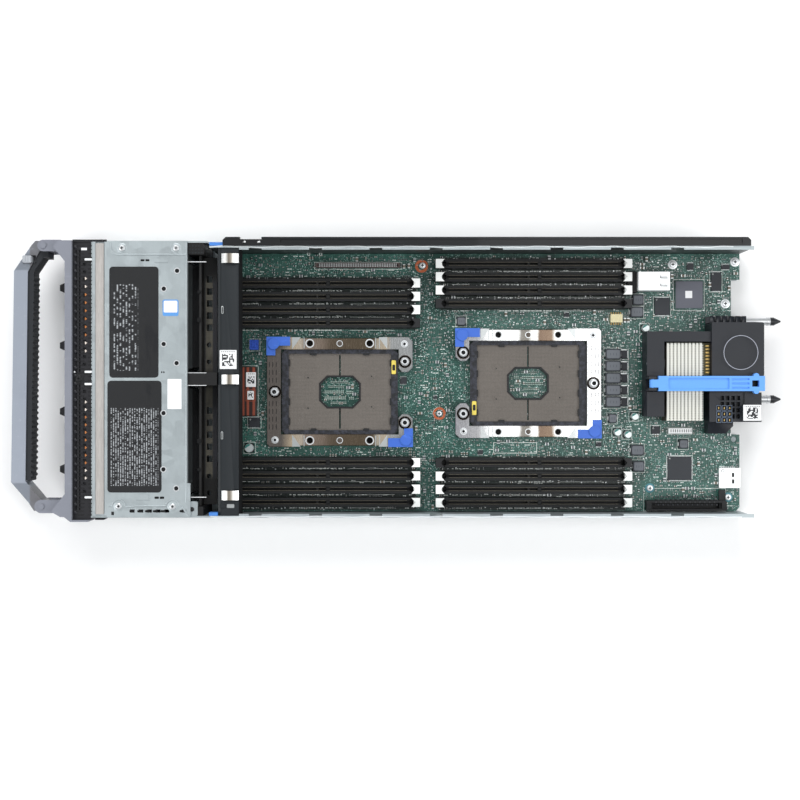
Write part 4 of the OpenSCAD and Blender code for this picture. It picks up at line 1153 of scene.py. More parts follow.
@functools.cache
def ground():
    """The one record of what is still open on the main board."""
    return Ground()


def silk_box(piece, x0, y0, x1, y1, width=0.28):
    """A printed outline on the board."""
    outer = rectangle(x0, y0, x1, y1)
    inner = rectangle(x0 + width, y0 + width, x1 - width, y1 - width)
    piece.plate(outer, [inner], BOARD_TOP, BOARD_TOP + 0.04, silk())


def silk_dashes(piece, x0, y0, x1, y1, word=2.2):
    """A printed row of plain dashes along x."""
    chance = random.Random(round(x0 * 31 + y0 * 17))
    x = x0
    while x < x1:
        end = min(x1, x + word * chance.uniform(0.4, 1.2))
        piece.block((x, y0, BOARD_TOP), (end, y1, BOARD_TOP + 0.04), silk())
        x = end + chance.choice((0.4, 0.4, 1.3))


class BLADE_OT_board(bpy.types.Operator):
    """Solder mask on the main board, with its printed outlines and dash rows"""

    bl_idname = "blade.board"
    bl_label = "Main board"

    def execute(self, context):
        coat_node("system_board", lacquered())
        piece = Piece("board_print", slot="green_board")
        for node in ("chips", "power_parts", "board_connectors"):
            for low, high in solids_of(node):
                silk_box(piece, low.x - 0.9, low.y - 0.9, high.x + 0.9, high.y + 0.9)
        silk_box(piece, 67.5, -53.0, 99.0, -45.0, 0.4)
        for node in ("dimm_sockets_front", "dimm_sockets_rear"):
            for low, high in solids_of(node):
                y = low.y - 1.75
                silk_dashes(piece, low.x + 12, y, low.x + 24, y + 0.5)
                silk_dashes(piece, low.x + 46, y - 0.1, low.x + 84, y + 0.6)
                start = (low.x + 90, y + 0.1, BOARD_TOP)
                piece.block(start, (low.x + 122, y + 0.35, BOARD_TOP + 0.04), silk())
        for x, y, radius in (
            (-66.0, 91.0, 1.1),
            (-57.4, 91.0, 1.1),
            (176.0, 30.5, 3.4),
            (28.0, -24.0, 4.4),
        ):
            width = min(0.5, radius * 0.4)
            piece.hoop(x, y, radius, width, BOARD_TOP, BOARD_TOP + 0.05, silk())
        piece.done()
        return {"FINISHED"}


class Crumbs:
    """Very many plain little blocks in one object."""

    def __init__(self, name, finishes):
        self.name = name
        self.finishes = finishes
        self.corners = []
        self.faces = []
        self.picks = []

    def block(self, x0, y0, x1, y1, z1, pick, z0=BOARD_TOP, inset=0.0):
        """A block without its hidden underside."""
        n = len(self.corners)
        self.corners += [(x0, y0, z0), (x1, y0, z0), (x1, y1, z0), (x0, y1, z0)]
        x0, y0, x1, y1 = x0 + inset, y0 + inset, x1 - inset, y1 - inset
        self.corners += [(x0, y0, z1), (x1, y0, z1), (x1, y1, z1), (x0, y1, z1)]
        for i in range(4):
            j = (i + 1) % 4
            self.faces.append((n + i, n + j, n + 4 + j, n + 4 + i))
        self.faces.append((n + 4, n + 5, n + 6, n + 7))
        self.picks += [pick] * 5

    def done(self):
        """One object that rides on the chassis."""
        data = bpy.data.meshes.new(self.name)
        scaled = [(x * MM, y * MM, z * MM) for x, y, z in self.corners]
        data.from_pydata(scaled, [], self.faces)
        for finish in self.finishes:
            data.materials.append(finish.material)
        data.polygons.foreach_set("material_index", self.picks)
        made = bpy.data.objects.new(self.name, data)
        bpy.context.scene.collection.objects.link(made)
        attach(made, "chassis")


TIN, RESISTOR, CERAMIC, BODY, PRINT, FERRITE = range(6)


def chip_part(crumbs, x, y, along, length, width, height, body):
    """A two-ended part: a body between soldered ends, lying along x or y."""
    end = length * 0.24
    for first, last, pick, rise in (
        (0, end, TIN, height),
        (end, length - end, body, height + 0.02),
        (length - end, length, TIN, height),
    ):
        if along:
            crumbs.block(x + first, y, x + last, y + width, BOARD_TOP + rise, pick, inset=0.03)
        else:
            crumbs.block(x, y + first, x + width, y + last, BOARD_TOP + rise, pick, inset=0.03)


def leaded_part(crumbs, x, y, wide, deep, height, pitch):
    """A moulded package with leads along two sides."""
    crumbs.block(x, y, x + wide, y + deep, BOARD_TOP + height, BODY, z0=BOARD_TOP + 0.1, inset=0.12)
    count = max(2, int((wide - 0.6) / pitch) + 1)
    for i in range(count):
        lead = x + wide / 2 + (i - (count - 1) / 2) * pitch
        for low, high in ((y - 0.7, y + 0.05), (y + deep - 0.05, y + deep + 0.7)):
            crumbs.block(lead - pitch * 0.24, low, lead + pitch * 0.24, high, BOARD_TOP + 0.22, TIN)
    crumbs.block(x + 0.4, y + deep - 0.8, x + 0.75, y + deep - 0.45, BOARD_TOP + height + 0.02, PRINT)


class BLADE_OT_small_parts(bpy.types.Operator):
    """Thousands of resistors, capacitors, small chips and test pads over the open board"""

    bl_idname = "blade.small_parts"
    bl_label = "Small parts"

    def execute(self, context):
        sizes = context.scene.blade_sizes
        chance = random.Random(sizes.seed)
        gap = size("clearance")
        free = ground()
        low, high = span("system_board")
        finishes = (
            tin(),
            moulded("resistor_black", tone(34, 36, 38), rough=0.4, scuff=0.02),
            moulded("ceramic_tan", tone(112, 104, 92), rough=0.5, mottle=0.2, scuff=0.02),
            chip_body(),
            silk(),
            moulded("ferrite_grey", tone(96, 100, 104), rough=0.6, mottle=0.15, scuff=0.02),
        )
        crumbs = Crumbs("small_parts", finishes)
        kinds = (
            (0.34, 1.15, 0.60, 0.40, RESISTOR),
            (0.28, 1.20, 0.65, 0.65, CERAMIC),
            (0.14, 1.90, 1.05, 1.05, CERAMIC),
            (0.10, 1.90, 1.00, 0.55, RESISTOR),
            (0.06, 3.30, 1.80, 1.60, CERAMIC),
            (0.08, 2.60, 2.10, 1.40, FERRITE),
        )
        for _ in range(sizes.clusters):
            x = chance.uniform(low.x, high.x)
            y = chance.uniform(low.y, high.y)
            x = round(x / 0.4) * 0.4
            y = round(y / 0.4) * 0.4
            draw = chance.random()
            if draw < 0.05:
                wide = chance.choice((2.9, 3.9, 4.9, 6.2))
                deep = wide * chance.choice((0.55, 0.8, 1.0))
                if free.take(x - 0.8, y - 1.0, x + wide + 0.8, y + deep + 1.0, gap):
                    leaded_part(crumbs, x, y, wide, deep, 1.0, 0.65 if wide > 3 else 0.95)
                continue
            if draw < 0.17:
                if free.take(x, y, x + 0.9, y + 0.9, gap):
                    crumbs.block(x, y, x + 0.9, y + 0.9, BOARD_TOP + 0.05, TIN)
                continue
            if draw < 0.24:
                length = chance.uniform(1.6, 4.2)
                if free.take(x, y, x + length, y + 0.7, 0):
                    crumbs.block(x, y, x + length * 0.42, y + 0.55, BOARD_TOP + 0.03, PRINT)
                    crumbs.block(x + length * 0.52, y, x + length, y + 0.55, BOARD_TOP + 0.03, PRINT)
                continue
            pick = chance.random()
            for share, length, width, height, body in kinds:
                pick -= share
                if pick < 0:
                    break
            along = chance.random() < 0.5
            count = chance.choice((1, 2, 2, 3, 4, 6)) if length < 2 else chance.choice((1, 1, 2))
            step = width + chance.choice((0.45, 0.6, 0.9))
            for i in range(count):
                px, py = (x, y + i * step) if along else (x + i * step, y)
                wide, deep = (length, width) if along else (width, length)
                if not free.take(px, py, px + wide, py + deep, gap):
                    break
                chip_part(crumbs, px, py, along, length, width, height, body)
        crumbs.done()
        return {"FINISHED"}


def reflection_banded(name, centre, way, stops, rough=0.26):
    """Spring steel with painted reflection bands across x, brushed along its rails."""
    finish = Finish(name)
    reach = 54
    local = (finish.x - centre) * way / (2 * reach) + 0.5
    wander = finish.noise(9, detail=3)
    brushed = finish.noise(0.45, detail=3, stretch=(1.0, 0.12, 1.0))
    places = [((x + reach) / (2 * reach), reflected) for x, reflected in stops]
    colour = finish.ramp(local + 0.02 * (wander - 0.5), places)
    level = 0.86 + 0.2 * (wander - 0.5) + 0.28 * brushed
    spots = finish.band(finish.noise(2.2, detail=6, rough=0.8), 0.60, 0.70)
    base = finish.mix(spots * 0.25, finish.shade(colour, level), tone(210, 206, 200))
    return finish.dress(
        base, rough=rough + 0.2 * (brushed - 0.5) + 0.1 * spots, metal=0.55, height=brushed, depth=0.015
    )


def pin_field(name, rim_height):
    """A processor socket: a dark rim, and under it a brown field of tiny contacts."""
    finish = Finish(name)
    pitch = size("pin_pitch")
    dots = finish.lines(finish.x, pitch, 0.55, 0.1) * finish.lines(finish.y, pitch, 0.55, 0.1)
    clouds = finish.noise(20, detail=4)
    rows = finish.noise(1.6, detail=2, stretch=(0.15, 1.0, 1.0))
    speck = finish.noise(0.9, detail=2, rough=0.7)
    field = finish.shade(paint("field"), 0.40 + 0.22 * dots + 0.22 * clouds + 0.18 * rows + 0.5 * speck)
    ragged = finish.band(finish.noise(2.4, detail=4, rough=0.7), 0.42, 0.60)
    rim = finish.mix(ragged, tone(24, 26, 30), tone(52, 54, 64))
    is_rim = finish.band(finish.z, rim_height - 0.3, rim_height - 0.1)
    return finish.dress(
        finish.mix(is_rim, field, rim),
        rough=0.48 + 0.1 * (clouds - 0.5),
        height=dots * (1 - is_rim),
        depth=0.10,
        gloss=0.4,
    )


# Painted reflections on the processor frames: for each frame, places along x in millimetres and the
# reflected colour there.
BOLSTER_REFLECTIONS = {
    1: (
        (-53, tone(112, 104, 99)),
        (-42, tone(104, 98, 93)),
        (-34, tone(190, 172, 148)),
        (-28, tone(196, 184, 168)),
        (-25, tone(146, 130, 118)),
        (-13, tone(128, 114, 102)),
        (-6, tone(96, 84, 70)),
        (24, tone(90, 78, 62)),
        (27, tone(176, 166, 150)),
        (33, tone(186, 170, 148)),
        (37, tone(158, 160, 160)),
        (53, tone(150, 152, 153)),
    ),
    2: (
        (-53, tone(252, 252, 253)),
        (-40, tone(250, 251, 252)),
        (-28, tone(248, 249, 248)),
        (-20, tone(226, 224, 218)),
        (-17, tone(122, 102, 84)),
        (-8, tone(112, 92, 76)),
        (-6, tone(236, 236, 232)),
        (-2, tone(206, 204, 200)),
        (0, tone(112, 108, 102)),
        (5, tone(120, 116, 110)),
        (8, tone(250, 251, 250)),
        (26, tone(248, 249, 248)),
        (36, tone(160, 160, 162)),
        (53, tone(142, 142, 146)),
    ),
}


def processor_site(number, way):
    """One processor socket with its steel frame, nuts, screws and window."""
    socket = f"cpu_socket_{number}"
    low, high = span(socket)
    centre = (low + high) / 2
    half = (high - low) / 2
    coat_node(socket, pin_field(f"pin_field_{number}", high.z))
    turn = Matrix.Rotation(math.pi if way < 0 else 0.0, 4, "Z")
    home = Matrix.Translation((centre.x, centre.y, 0)) @ turn
    top = FRAME_TOP
    # The frame's finish paints reflections as colour bands across its rails.
    steel_frame = reflection_banded(f"reflection_banded_steel_{number}", centre.x, way, BOLSTER_REFLECTIONS[number])
    slot = "tinted_bolster" if number == 1 else "bright_bolster"
    piece = Piece(f"processor_frame_{number}", "chassis", slot, (f"bolster_{number}",))
    piece.place = home
    wide, deep = 52.4, 39.5
    gap_x, gap_y = half.x + 0.6, half.y - 0.4
    outline = [(-wide + 2, -deep), (-34, -deep), (-29, -deep + 0.9), (28, -deep + 0.9), (33, -deep)]
    outline += [(wide - 3, -deep), (wide, -deep + 3), (wide, -19), (wide - 3.4, -16), (gap_x + 2.4, -16)]
    outline += [(gap_x, -18.5), (gap_x, -gap_y), (-gap_x, -gap_y), (-gap_x, gap_y), (gap_x, gap_y)]
    outline += [(gap_x, 17), (gap_x + 2.4, 14.2), (wide - 3.4, 14.2), (wide, 17.4), (wide, deep - 3)]
    outline += [(wide - 3, deep), (33, deep), (28, deep - 0.9), (-29, deep - 0.9), (-34, deep)]
    outline += [(-wide + 2, deep), (-wide, deep - 2), (-wide, -deep + 2)]
    rail_holes = [(x, y) for x in (-21.5, 21.5) for y in (-34.9, 34.9)]
    nut_places = ((-46.6, 0.2), (46.8, 21.8), (46.8, -22.2))
    underside = 10.2
    holes = [circle(x, y, 2.1, 18) for x, y in rail_holes]
    holes += [circle(x, y, 2.0, 18) for x, y in nut_places]
    piece.plate(outline, holes, underside, top, steel_frame, 0.35)
    bright_steel = steel()
    for x, y in rail_holes:
        piece.hoop(x, y, 3.2, 0.8, top - 0.1, top + 0.18, bright_steel)
        piece.lathe(x, y, [(1.9, underside), (1.9, 12.0)], dark())
    for x, y in nut_places:
        piece.hoop(x, y, 4.4, 1.0, top - 0.1, top + 0.2, bright_steel)
        profile = [(3.2, top), (3.2, top + 1.0), (2.8, top + 1.3), (1.6, top + 1.3), (1.6, top)]
        piece.lathe(x, y, profile, bright_steel, 6, loop=True)
        piece.lathe(x, y, [(1.55, 11), (1.55, top + 0.3)], dark())
    for x, y in ((-46.5, -34.5), (46.6, 34.4), (46.6, -34.8)):
        piece.screw(x, y, top, 2.1, bright_steel, dark(), height=0.8)
    for y in (-35.2, 35.2):
        piece.hoop(0.9, y, 2.5, 0.5, top - 0.1, top + 0.1, steel_frame)
        for x in (-25.6, 25.8, 28.5):
            piece.block((x - 0.3, y - 3.9, top), (x + 0.3, y + 3.9, top + 0.12), tin(), 0.05)
    for side in (-1, 1):
        for corner in (-1, 1):
            x = corner * 34.2
            y = side * 30.7
            facet = [(x, y), (x, y + side * 8.6), (x - corner * 6.2, y + side * 8.6)]
            if side * corner > 0:
                facet.reverse()
            piece.prism(facet if side * corner < 0 else facet[::-1], top, top + 0.14, tin(), 0.0)
    for column in range(3):
        x = -50.6 + 2.5 * column
        for i in range(9):
            y = -27 + 5.6 * i
            if abs(y) > 5:
                piece.block((x - 0.25, y, top - 0.05), (x + 0.25, y + 3.6, top + 0.03), dark())
    piece.done()

    inner = Piece(f"processor_window_{number}", "chassis", "brown_socket")
    inner.place = home
    rim_black = moulded("window_black", tone(30, 31, 33), rough=0.45, scuff=0.08)
    deck = 12.4
    wx, wy, cut = 15.0, 11.9, 5.6
    outer = [(-wx + cut, -wy), (wx - cut, -wy), (wx, -wy + cut), (wx, wy - cut)]
    outer += [(wx - cut, wy), (-wx + cut, wy), (-wx, wy - cut), (-wx, -wy + cut)]
    inner.plate(outer, [grown(outer, -1.3)], deck - 0.4, deck + 0.5, rim_black, 0.15)
    green = lacquered()
    pale = moulded("capacitor_grey", tone(150, 168, 160), rough=0.45, mottle=0.1, scuff=0.05)
    inner.prism(grown(outer, -1.35), BOARD_TOP + 0.02, BOARD_TOP + 0.12, green)
    rows = (
        (7.0, 1.5, (-6.8, 7.2)),
        (3.9, 1.5, (-8.4, 3.4)),
        (3.3, 1.5, (5.6, 10.2)),
        (0.0, 2.0, (-11.2, 3.4)),
        (-0.4, 2.0, (4.6, 10.2)),
        (-4.3, 2.0, (-11.2, 4.6)),
        (-4.5, 1.7, (6.4, 10.8)),
        (-7.8, 1.5, (-6.8, 5.8)),
    )
    for y, tall, (x0, x1) in rows:
        step = 1.3
        for i in range(int((x1 - x0) / step)):
            x = x0 + i * step
            end = x + 0.95
            inner.block((x, y - tall / 2, BOARD_TOP), (end, y + tall / 2, BOARD_TOP + 0.9), pale, 0.1)
            inner.block((x, y - 0.25, BOARD_TOP + 0.88), (end, y + 0.25, BOARD_TOP + 0.94), dark())
    for x in (-23.5, 23.5):
        for y in (-11.2, 10.8):
            tilt = Matrix.Rotation(math.radians(-38), 4, "Z")
            inner.place = home @ Matrix.Translation((x, y, 0)) @ tilt
            inner.block((-1.3, -0.35, deck), (1.3, 0.35, deck + 0.25), rim_black)
    inner.place = home
    for y in (-27.2, 27.2):
        for x in (-19.0, 19.0):
            inner.block((x - 2.2, y - 0.9, deck), (x + 2.2, y + 0.9, high.z + 0.12), rim_black, 0.2, 0.5)
    for x in (-36.6, 36.6):
        for y in (-21, -7, 7, 21):
            inner.block((x - 0.7, y - 2.5, deck), (x + 0.7, y + 2.5, high.z + 0.1), rim_black, 0.2, 0.4)
    yellow = moulded("marker_yellow", tone(226, 206, 96), rough=0.45, scuff=0.05)
    inner.block((37.2, 12.8, high.z), (40.4, 22.8, high.z + 0.6), yellow, 0.2, 0.5)
    inner.block((37.8, 15.4, high.z + 0.6), (39.8, 19.6, high.z + 0.65), rim_black, 0.0, 0.6, 3)
    inner.done()


class BLADE_OT_processors(bpy.types.Operator):
    """Both processor sockets with their steel frames, painted with reflection bands"""

    bl_idname = "blade.processors"
    bl_label = "Processor sockets"

    def execute(self, context):
        processor_site(1, 1)
        processor_site(2, -1)
        return {"FINISHED"}


# Numbers of the latches that are moulded in white rather than black
WHITE_LATCHES = {1, 2, 3, 5, 6, 7, 8} | set(range(9, 15)) | set(range(19, 25))


class BLADE_OT_memory(bpy.types.Operator):
    """Memory sockets with contact rows, keys and printed marks, and their end latches"""

    bl_idname = "blade.memory"
    bl_label = "Memory sockets"

    def execute(self, context):
        body = moulded("socket_black", tone(19, 20, 21), rough=0.5, scuff=0.14, gloss=0.3)
        teeth = contacts("socket_contacts", tone(14, 14, 15), tone(92, 86, 70), 0.85, 0.4)
        # A lighter grey copy of the socket black: painted highlights on the slot edges and side ribs.
        ridge_highlight = moulded("socket_ridge_highlight", tone(38, 40, 43), rough=0.4, scuff=0.2)
        piece = Piece("memory_contacts", slot="black_socket")
        for node in ("dimm_sockets_front", "dimm_sockets_rear"):
            coat_node(node, body)
            for low, high in solids_of(node):
                middle = (low.y + high.y) / 2
                key = low.x + (high.x - low.x) * 0.53
                for first, last in ((low.x + 9.5, key - 1.6), (key + 1.6, high.x - 9.5)):
                    for side in (-1, 1):
                        y = middle + side * 1.15
                        piece.block((first, y - 0.22, high.z - 0.6), (last, y + 0.22, high.z + 0.03), teeth)
                piece.block((key - 1.2, middle - 0.9, high.z - 2.2), (key + 1.2, middle + 0.9, high.z), body)
                for side in (-1, 1):
                    y = middle + side * 2.75
                    ends = ((low.x + 7, y, high.z - 0.02), (high.x - 7, y, high.z - 0.02))
                    piece.rod(ends, 0.16, ridge_highlight, 6)
                for i in range(14):
                    x = low.x + 12 + i * (high.x - low.x - 24) / 13
                    piece.block((x, low.y - 0.25, 10.5), (x + 2.4, low.y + 0.1, high.z - 0.8), ridge_highlight, 0.1)
        piece.done()
        white = moulded("latch_white", tone(244, 246, 244), rough=0.4, mottle=0.04, scuff=0.05)
        dim = moulded("latch_black", tone(30, 31, 33), rough=0.42, scuff=0.16)
        for name, members in frame["record"]["behaviour"]["bodies"].items():
            if not name.startswith("latch_"):
                continue
            plastic = white if int(name[-2:]) in WHITE_LATCHES else dim
            for node in members:
                coat_node(node, plastic)
        return {"FINISHED"}


def choke(piece, low, high, core, cap):
    """A power inductor: a ferrite block with a raised, lighter top and two tabs."""
    rise = high.z - low.z
    piece.block((low.x, low.y, low.z + 0.3), (high.x, high.y, high.z - 0.25), core, 0.3, 0.6)
    inset = 0.16 * min(high.x - low.x, high.y - low.y)
    edge = inset * 0.6
    lid = rectangle(low.x + edge, low.y + edge, high.x - edge, high.y - edge, inset)
    piece.prism(lid, high.z - 0.25, high.z, cap, 0.15)
    middle = (low.y + high.y) / 2
    for x0, x1 in ((low.x - 0.5, low.x + 0.3), (high.x - 0.3, high.x + 0.5)):
        piece.block((x0, middle - 1.5, low.z), (x1, middle + 1.5, low.z + rise * 0.5), tin(), 0.1)
    for i in range(3):
        x = low.x + (high.x - low.x) * (0.3 + 0.2 * i)
        piece.block((x - 0.1, middle - 0.9, high.z), (x + 0.1, middle + 0.9, high.z + 0.03), core)


def can(piece, low, high, sleeve, top):
    """A small electrolytic capacitor on its square black base."""
    x, y = (low.x + high.x) / 2, (low.y + high.y) / 2
    radius = (high.x - low.x) / 2
    piece.block((x - radius, y - radius, low.z), (x + radius, y + radius, low.z + 0.9), black(), 0.1, 0.9)
    rise = high.z - low.z
    groove = low.z + 1.6
    profile = [(radius * 0.9, low.z + 0.8), (radius * 0.94, groove - 0.3), (radius * 0.84, groove)]
    profile += [(radius * 0.94, groove + 0.3), (radius * 0.94, low.z + rise * 0.9), (radius * 0.84, high.z)]
    piece.lathe(x, y, profile + [(radius * 0.3, high.z)], top, 22)
    arm = radius * 0.84
    wedge = [(x + arm * math.cos(a / 4), y + arm * math.sin(a / 4)) for a in range(4, 14)]
    piece.prism(wedge, high.z - 0.1, high.z + 0.03, sleeve)


class BLADE_OT_power(bpy.types.Operator):
    """Inductors, capacitors, the front module and the regulators' chips"""

    bl_idname = "blade.power"
    bl_label = "Power parts"

    def execute(self, context):
        piece = Piece("power_set", slot="grey_power", stands_for=("power_parts",))
        core = moulded("ferrite_core", tone(50, 53, 58), rough=0.6, grain=0.3, mottle=0.1)
        cap = moulded("choke_top", tone(96, 100, 106), rough=0.55, grain=0.25, mottle=0.1)
        sleeve = moulded("can_sleeve", paint("teal"), rough=0.4)
        top = bright("can_top", tone(206, 214, 214), rough=0.35, metal=0.5)
        rust = moulded("module_rust", tone(134, 68, 50), rough=0.42, grain=0.5, stretch=(1.0, 0.1, 1.0))
        umber = moulded("module_umber", tone(44, 30, 27), rough=0.45, grain=0.5)
        for low, high in solids_of("power_parts"):
            wide, deep, rise = high - low
            # The long capacitor module, the round cans, and square inductors for the rest
            if deep > 25:
                piece.block(tuple(low), tuple(high), umber, 0.5, 0.8)
                for x0, x1 in ((0.4, 3.0), (4.6, 6.4), (8.8, 10.6)):
                    box = (low.x + x0, low.y + 0.5, high.z - 0.1), (low.x + x1, high.y - 0.5, high.z + 0.12)
                    piece.block(*box, rust, 0.08)
                lid = high.z + 0.12
                coded_label(piece, low.x + 4.2, low.y + 21.0, high.x - 0.1, low.y + 31.5, lid, "module_code")
                outer = rectangle(low.x + 3.9, low.y + 10.6, high.x - 0.4, low.y + 19.4)
                piece.plate(outer, [grown(outer, -0.5)], lid, lid + 0.05, rust)
                coded_label(piece, low.x + 5.2, low.y + 11.9, high.x - 1.6, low.y + 18.1, lid, "module_mark")
            elif abs(wide - deep) < 0.3 and rise > 4.5:
                can(piece, low, high, sleeve, top)
            else:
                choke(piece, low, high, core, cap)
        piece.done()
        return {"FINISHED"}


def packaged(piece, low, high, body, sides, mark=True):
    """A chip package with leads along the sides asked for."""
    edge = 0.28
    piece.block((low.x, low.y, low.z + 0.1), tuple(high), body, edge, 0.25)
    pitch = 0.8
    for side in sides:
        along_x = side in "ns"
        start, end = (low.x, high.x) if along_x else (low.y, high.y)
        count = int((end - start - 1.4) / pitch)
        for i in range(count + 1):
            at = (start + end) / 2 + (i - count / 2) * pitch
            reach = {"n": high.y, "s": low.y - 0.8, "e": high.x, "w": low.x - 0.8}[side]
            if along_x:
                piece.block((at - 0.2, reach, low.z), (at + 0.2, reach + 0.8, low.z + 0.3), tin())
            else:
                piece.block((reach, at - 0.2, low.z), (reach + 0.8, at + 0.2, low.z + 0.3), tin())
    if mark:
        piece.hoop(low.x + 1.3, high.y - 1.3, 0.5, 0.18, high.z - 0.02, high.z + 0.02, silk(), 12)


class BLADE_OT_chips(bpy.types.Operator):
    """Chip packages, power transistors and the management controller with its sticker"""

    bl_idname = "blade.chips"
    bl_label = "Chips"

    def execute(self, context):
        piece = Piece("chip_set", slot="black_chips", stands_for=("chips",))
        body = chip_body()
        violet = moulded("controller_body", tone(92, 94, 104), rough=0.42, grain=0.25, mottle=0.05)
        for low, high in solids_of("chips"):
            wide = high.x - low.x
            # The controller on its green carrier, power transistors, and leaded packages
            if wide > 18:
                piece.block(tuple(low), (high.x, high.y, high.z - 0.5), lacquered(), 0.1)
                corner = (high.x - 0.5, high.y - 0.5, high.z)
                piece.block((low.x + 0.5, low.y + 0.5, low.z), corner, violet, 0.3, 0.4)
                x, y = (low.x + high.x) / 2 - 0.4, (low.y + high.y) / 2 + 0.2
                bare_label(piece, x - 2.5, y - 2.6, x + 2.5, y + 2.6, high.z, paper(), 0.2)
            elif 4 < wide < 5:
                packaged(piece, low, high, body, "ew", mark=False)
                corner = (high.x - 0.4, high.y + 0.5, low.z + 0.4)
                piece.block((low.x + 0.4, high.y - 0.5, low.z), corner, tin())
            else:
                packaged(piece, low, high, body, "nsew" if wide > 12 else "ns")
        piece.done()
        return {"FINISHED"}


class BLADE_OT_ports(bpy.types.Operator):
    """The internal port, the card slot and the board's connectors"""

    bl_idname = "blade.ports"
    bl_label = "Ports and connectors"

    def execute(self, context):
        shell = bright("port_shell", tone(238, 241, 242), rough=0.3, metal=0.35)
        coat_node("ports", shell)
        piece = Piece("port_details", slot="tinned_ports")
        (usb, usb_top), (card, card_top) = solids_of("ports")
        rows = (usb_top.y - usb.y) / 2
        x, z = usb_top.x, usb_top.z
        for y in (usb.y + rows * 0.42, usb.y + rows * 1.28):
            piece.block((x - 6.5, y, z), (x - 1.6, y + 0.5, z + 0.05), dark())
            piece.block((x - 6.9, y, z), (x - 6.4, y + 2.0, z + 0.05), dark())
            piece.rod([(x - 6.2, y + 1.1, z), (x - 2.0, y + 1.1, z)], 0.35, shell)
        shelf = 17.5
        corner = (usb.x + 0.6, usb_top.y + 1.0, shelf)
        piece.block((usb.x - 6.6, usb.y - 1.2, BOARD_TOP), corner, black(), 0.4, 0.8)
        for i in range(5):
            y = usb.y + 0.4 + i * 3.0
            piece.block((usb.x - 5.6, y, shelf), (usb.x - 3.4, y + 1.6, shelf + 1.1), black(), 0.3)
            piece.block((usb.x - 7.4, y, BOARD_TOP), (usb.x - 6.5, y + 0.7, 11.6), tin(), 0.1)
        for y in (card.y + 3.2, card.y + 7.9):
            low = (card.x + 9.2, y, card_top.z)
            piece.block(low, (card.x + 10.8, y + 3.0, card_top.z + 0.05), dark(), 0, 0.3, 2)
        z = card_top.z
        piece.hoop(card.x + 2.6, card_top.y - 2.0, 1.1, 0.3, z - 0.02, z + 0.04, chip_body(), 16)
        for i in range(8):
            x = card.x + 2 + i * 1.3
            piece.block((x, card_top.y, BOARD_TOP), (x + 0.5, card_top.y + 1.0, 10.2), tin())
        piece.done()
        boxes = solids_of("board_connectors")
        finishes = {
            0: moulded("plug_blue", tone(38, 74, 168), rough=0.45),
            1: moulded("strip_brown", tone(74, 62, 60), rough=0.5),
            2: moulded("header_cream", tone(214, 206, 168), rough=0.5),
        }

        def choose(low, _high):
            for i, (corner, _) in enumerate(boxes):
                if (corner - low).length < 0.5:
                    return finishes.get(i, black())
            return black()

        softened("connector_set", "board_connectors", "chassis", "dark_connectors", choose, 0.15).done()
        pins = Piece("connector_pins", slot="dark_connectors")
        socket_grey = moulded("socket_grey", tone(58, 60, 64), rough=0.5)
        low, high = boxes[0]
        for i in range(3):
            for j in range(3):
                x, y = low.x + 1.3 + i * 2, low.y + 1.4 + j * 2.1
                z = high.z + 0.4 + 0.3 * ((i + j) % 2)
                pins.block((x, y, high.z), (x + 1.1, y + 1.2, z), finishes[0], 0.2)
        low, high = boxes[2]
        for i in range(5):
            for y in (low.y - 1.6, high.y - 0.2):
                x = low.x + 0.9 + i * 1.7
                pins.block((x - 0.3, y, BOARD_TOP), (x + 0.3, y + 1.8, BOARD_TOP + 1.2), gold(), 0.1)
            corner = (x + 0.5, high.y - 1.0, high.z + 0.3)
            pins.block((x - 0.5, low.y + 1.0, high.z), corner, finishes[2], 0.2)
        low, high = boxes[1]
        last = 45
        for i in range(last + 1):
            x = low.x + 3 + i * (high.x - low.x - 6) / last
            pins.block((x - 0.25, low.y + 0.5, high.z - 0.3), (x + 0.25, high.y - 0.5, high.z + 0.04), tin())
        low, high = boxes[3]
        for i in range(26):
            for j in range(4):
                x = low.x + 6.4 + i * 1.75
                y = low.y + 3.9 + j * 1.85
                plastic = socket_grey if (i + j) % 2 else black()
                pins.block((x, y, high.z - 1.4), (x + 0.8, y + 1.0, high.z + 0.02), plastic)
        low, high = boxes[4]
        white = moulded("socket_white", tone(238, 240, 240), rough=0.4, scuff=0.03)
        corner = (high.x + 0.4, high.y + 0.2, high.z + 0.3)
        pins.block((low.x - 0.4, low.y - 0.2, high.z - 2.0), corner, white, 0.25)
        for i in range(10):
            x = low.x + 1.2 + i * 1.6
            pins.block((x, low.y + 0.8, high.z + 0.3), (x + 0.5, high.y - 0.8, high.z + 0.34), chip_body())
        pins.done()
        return {"FINISHED"}


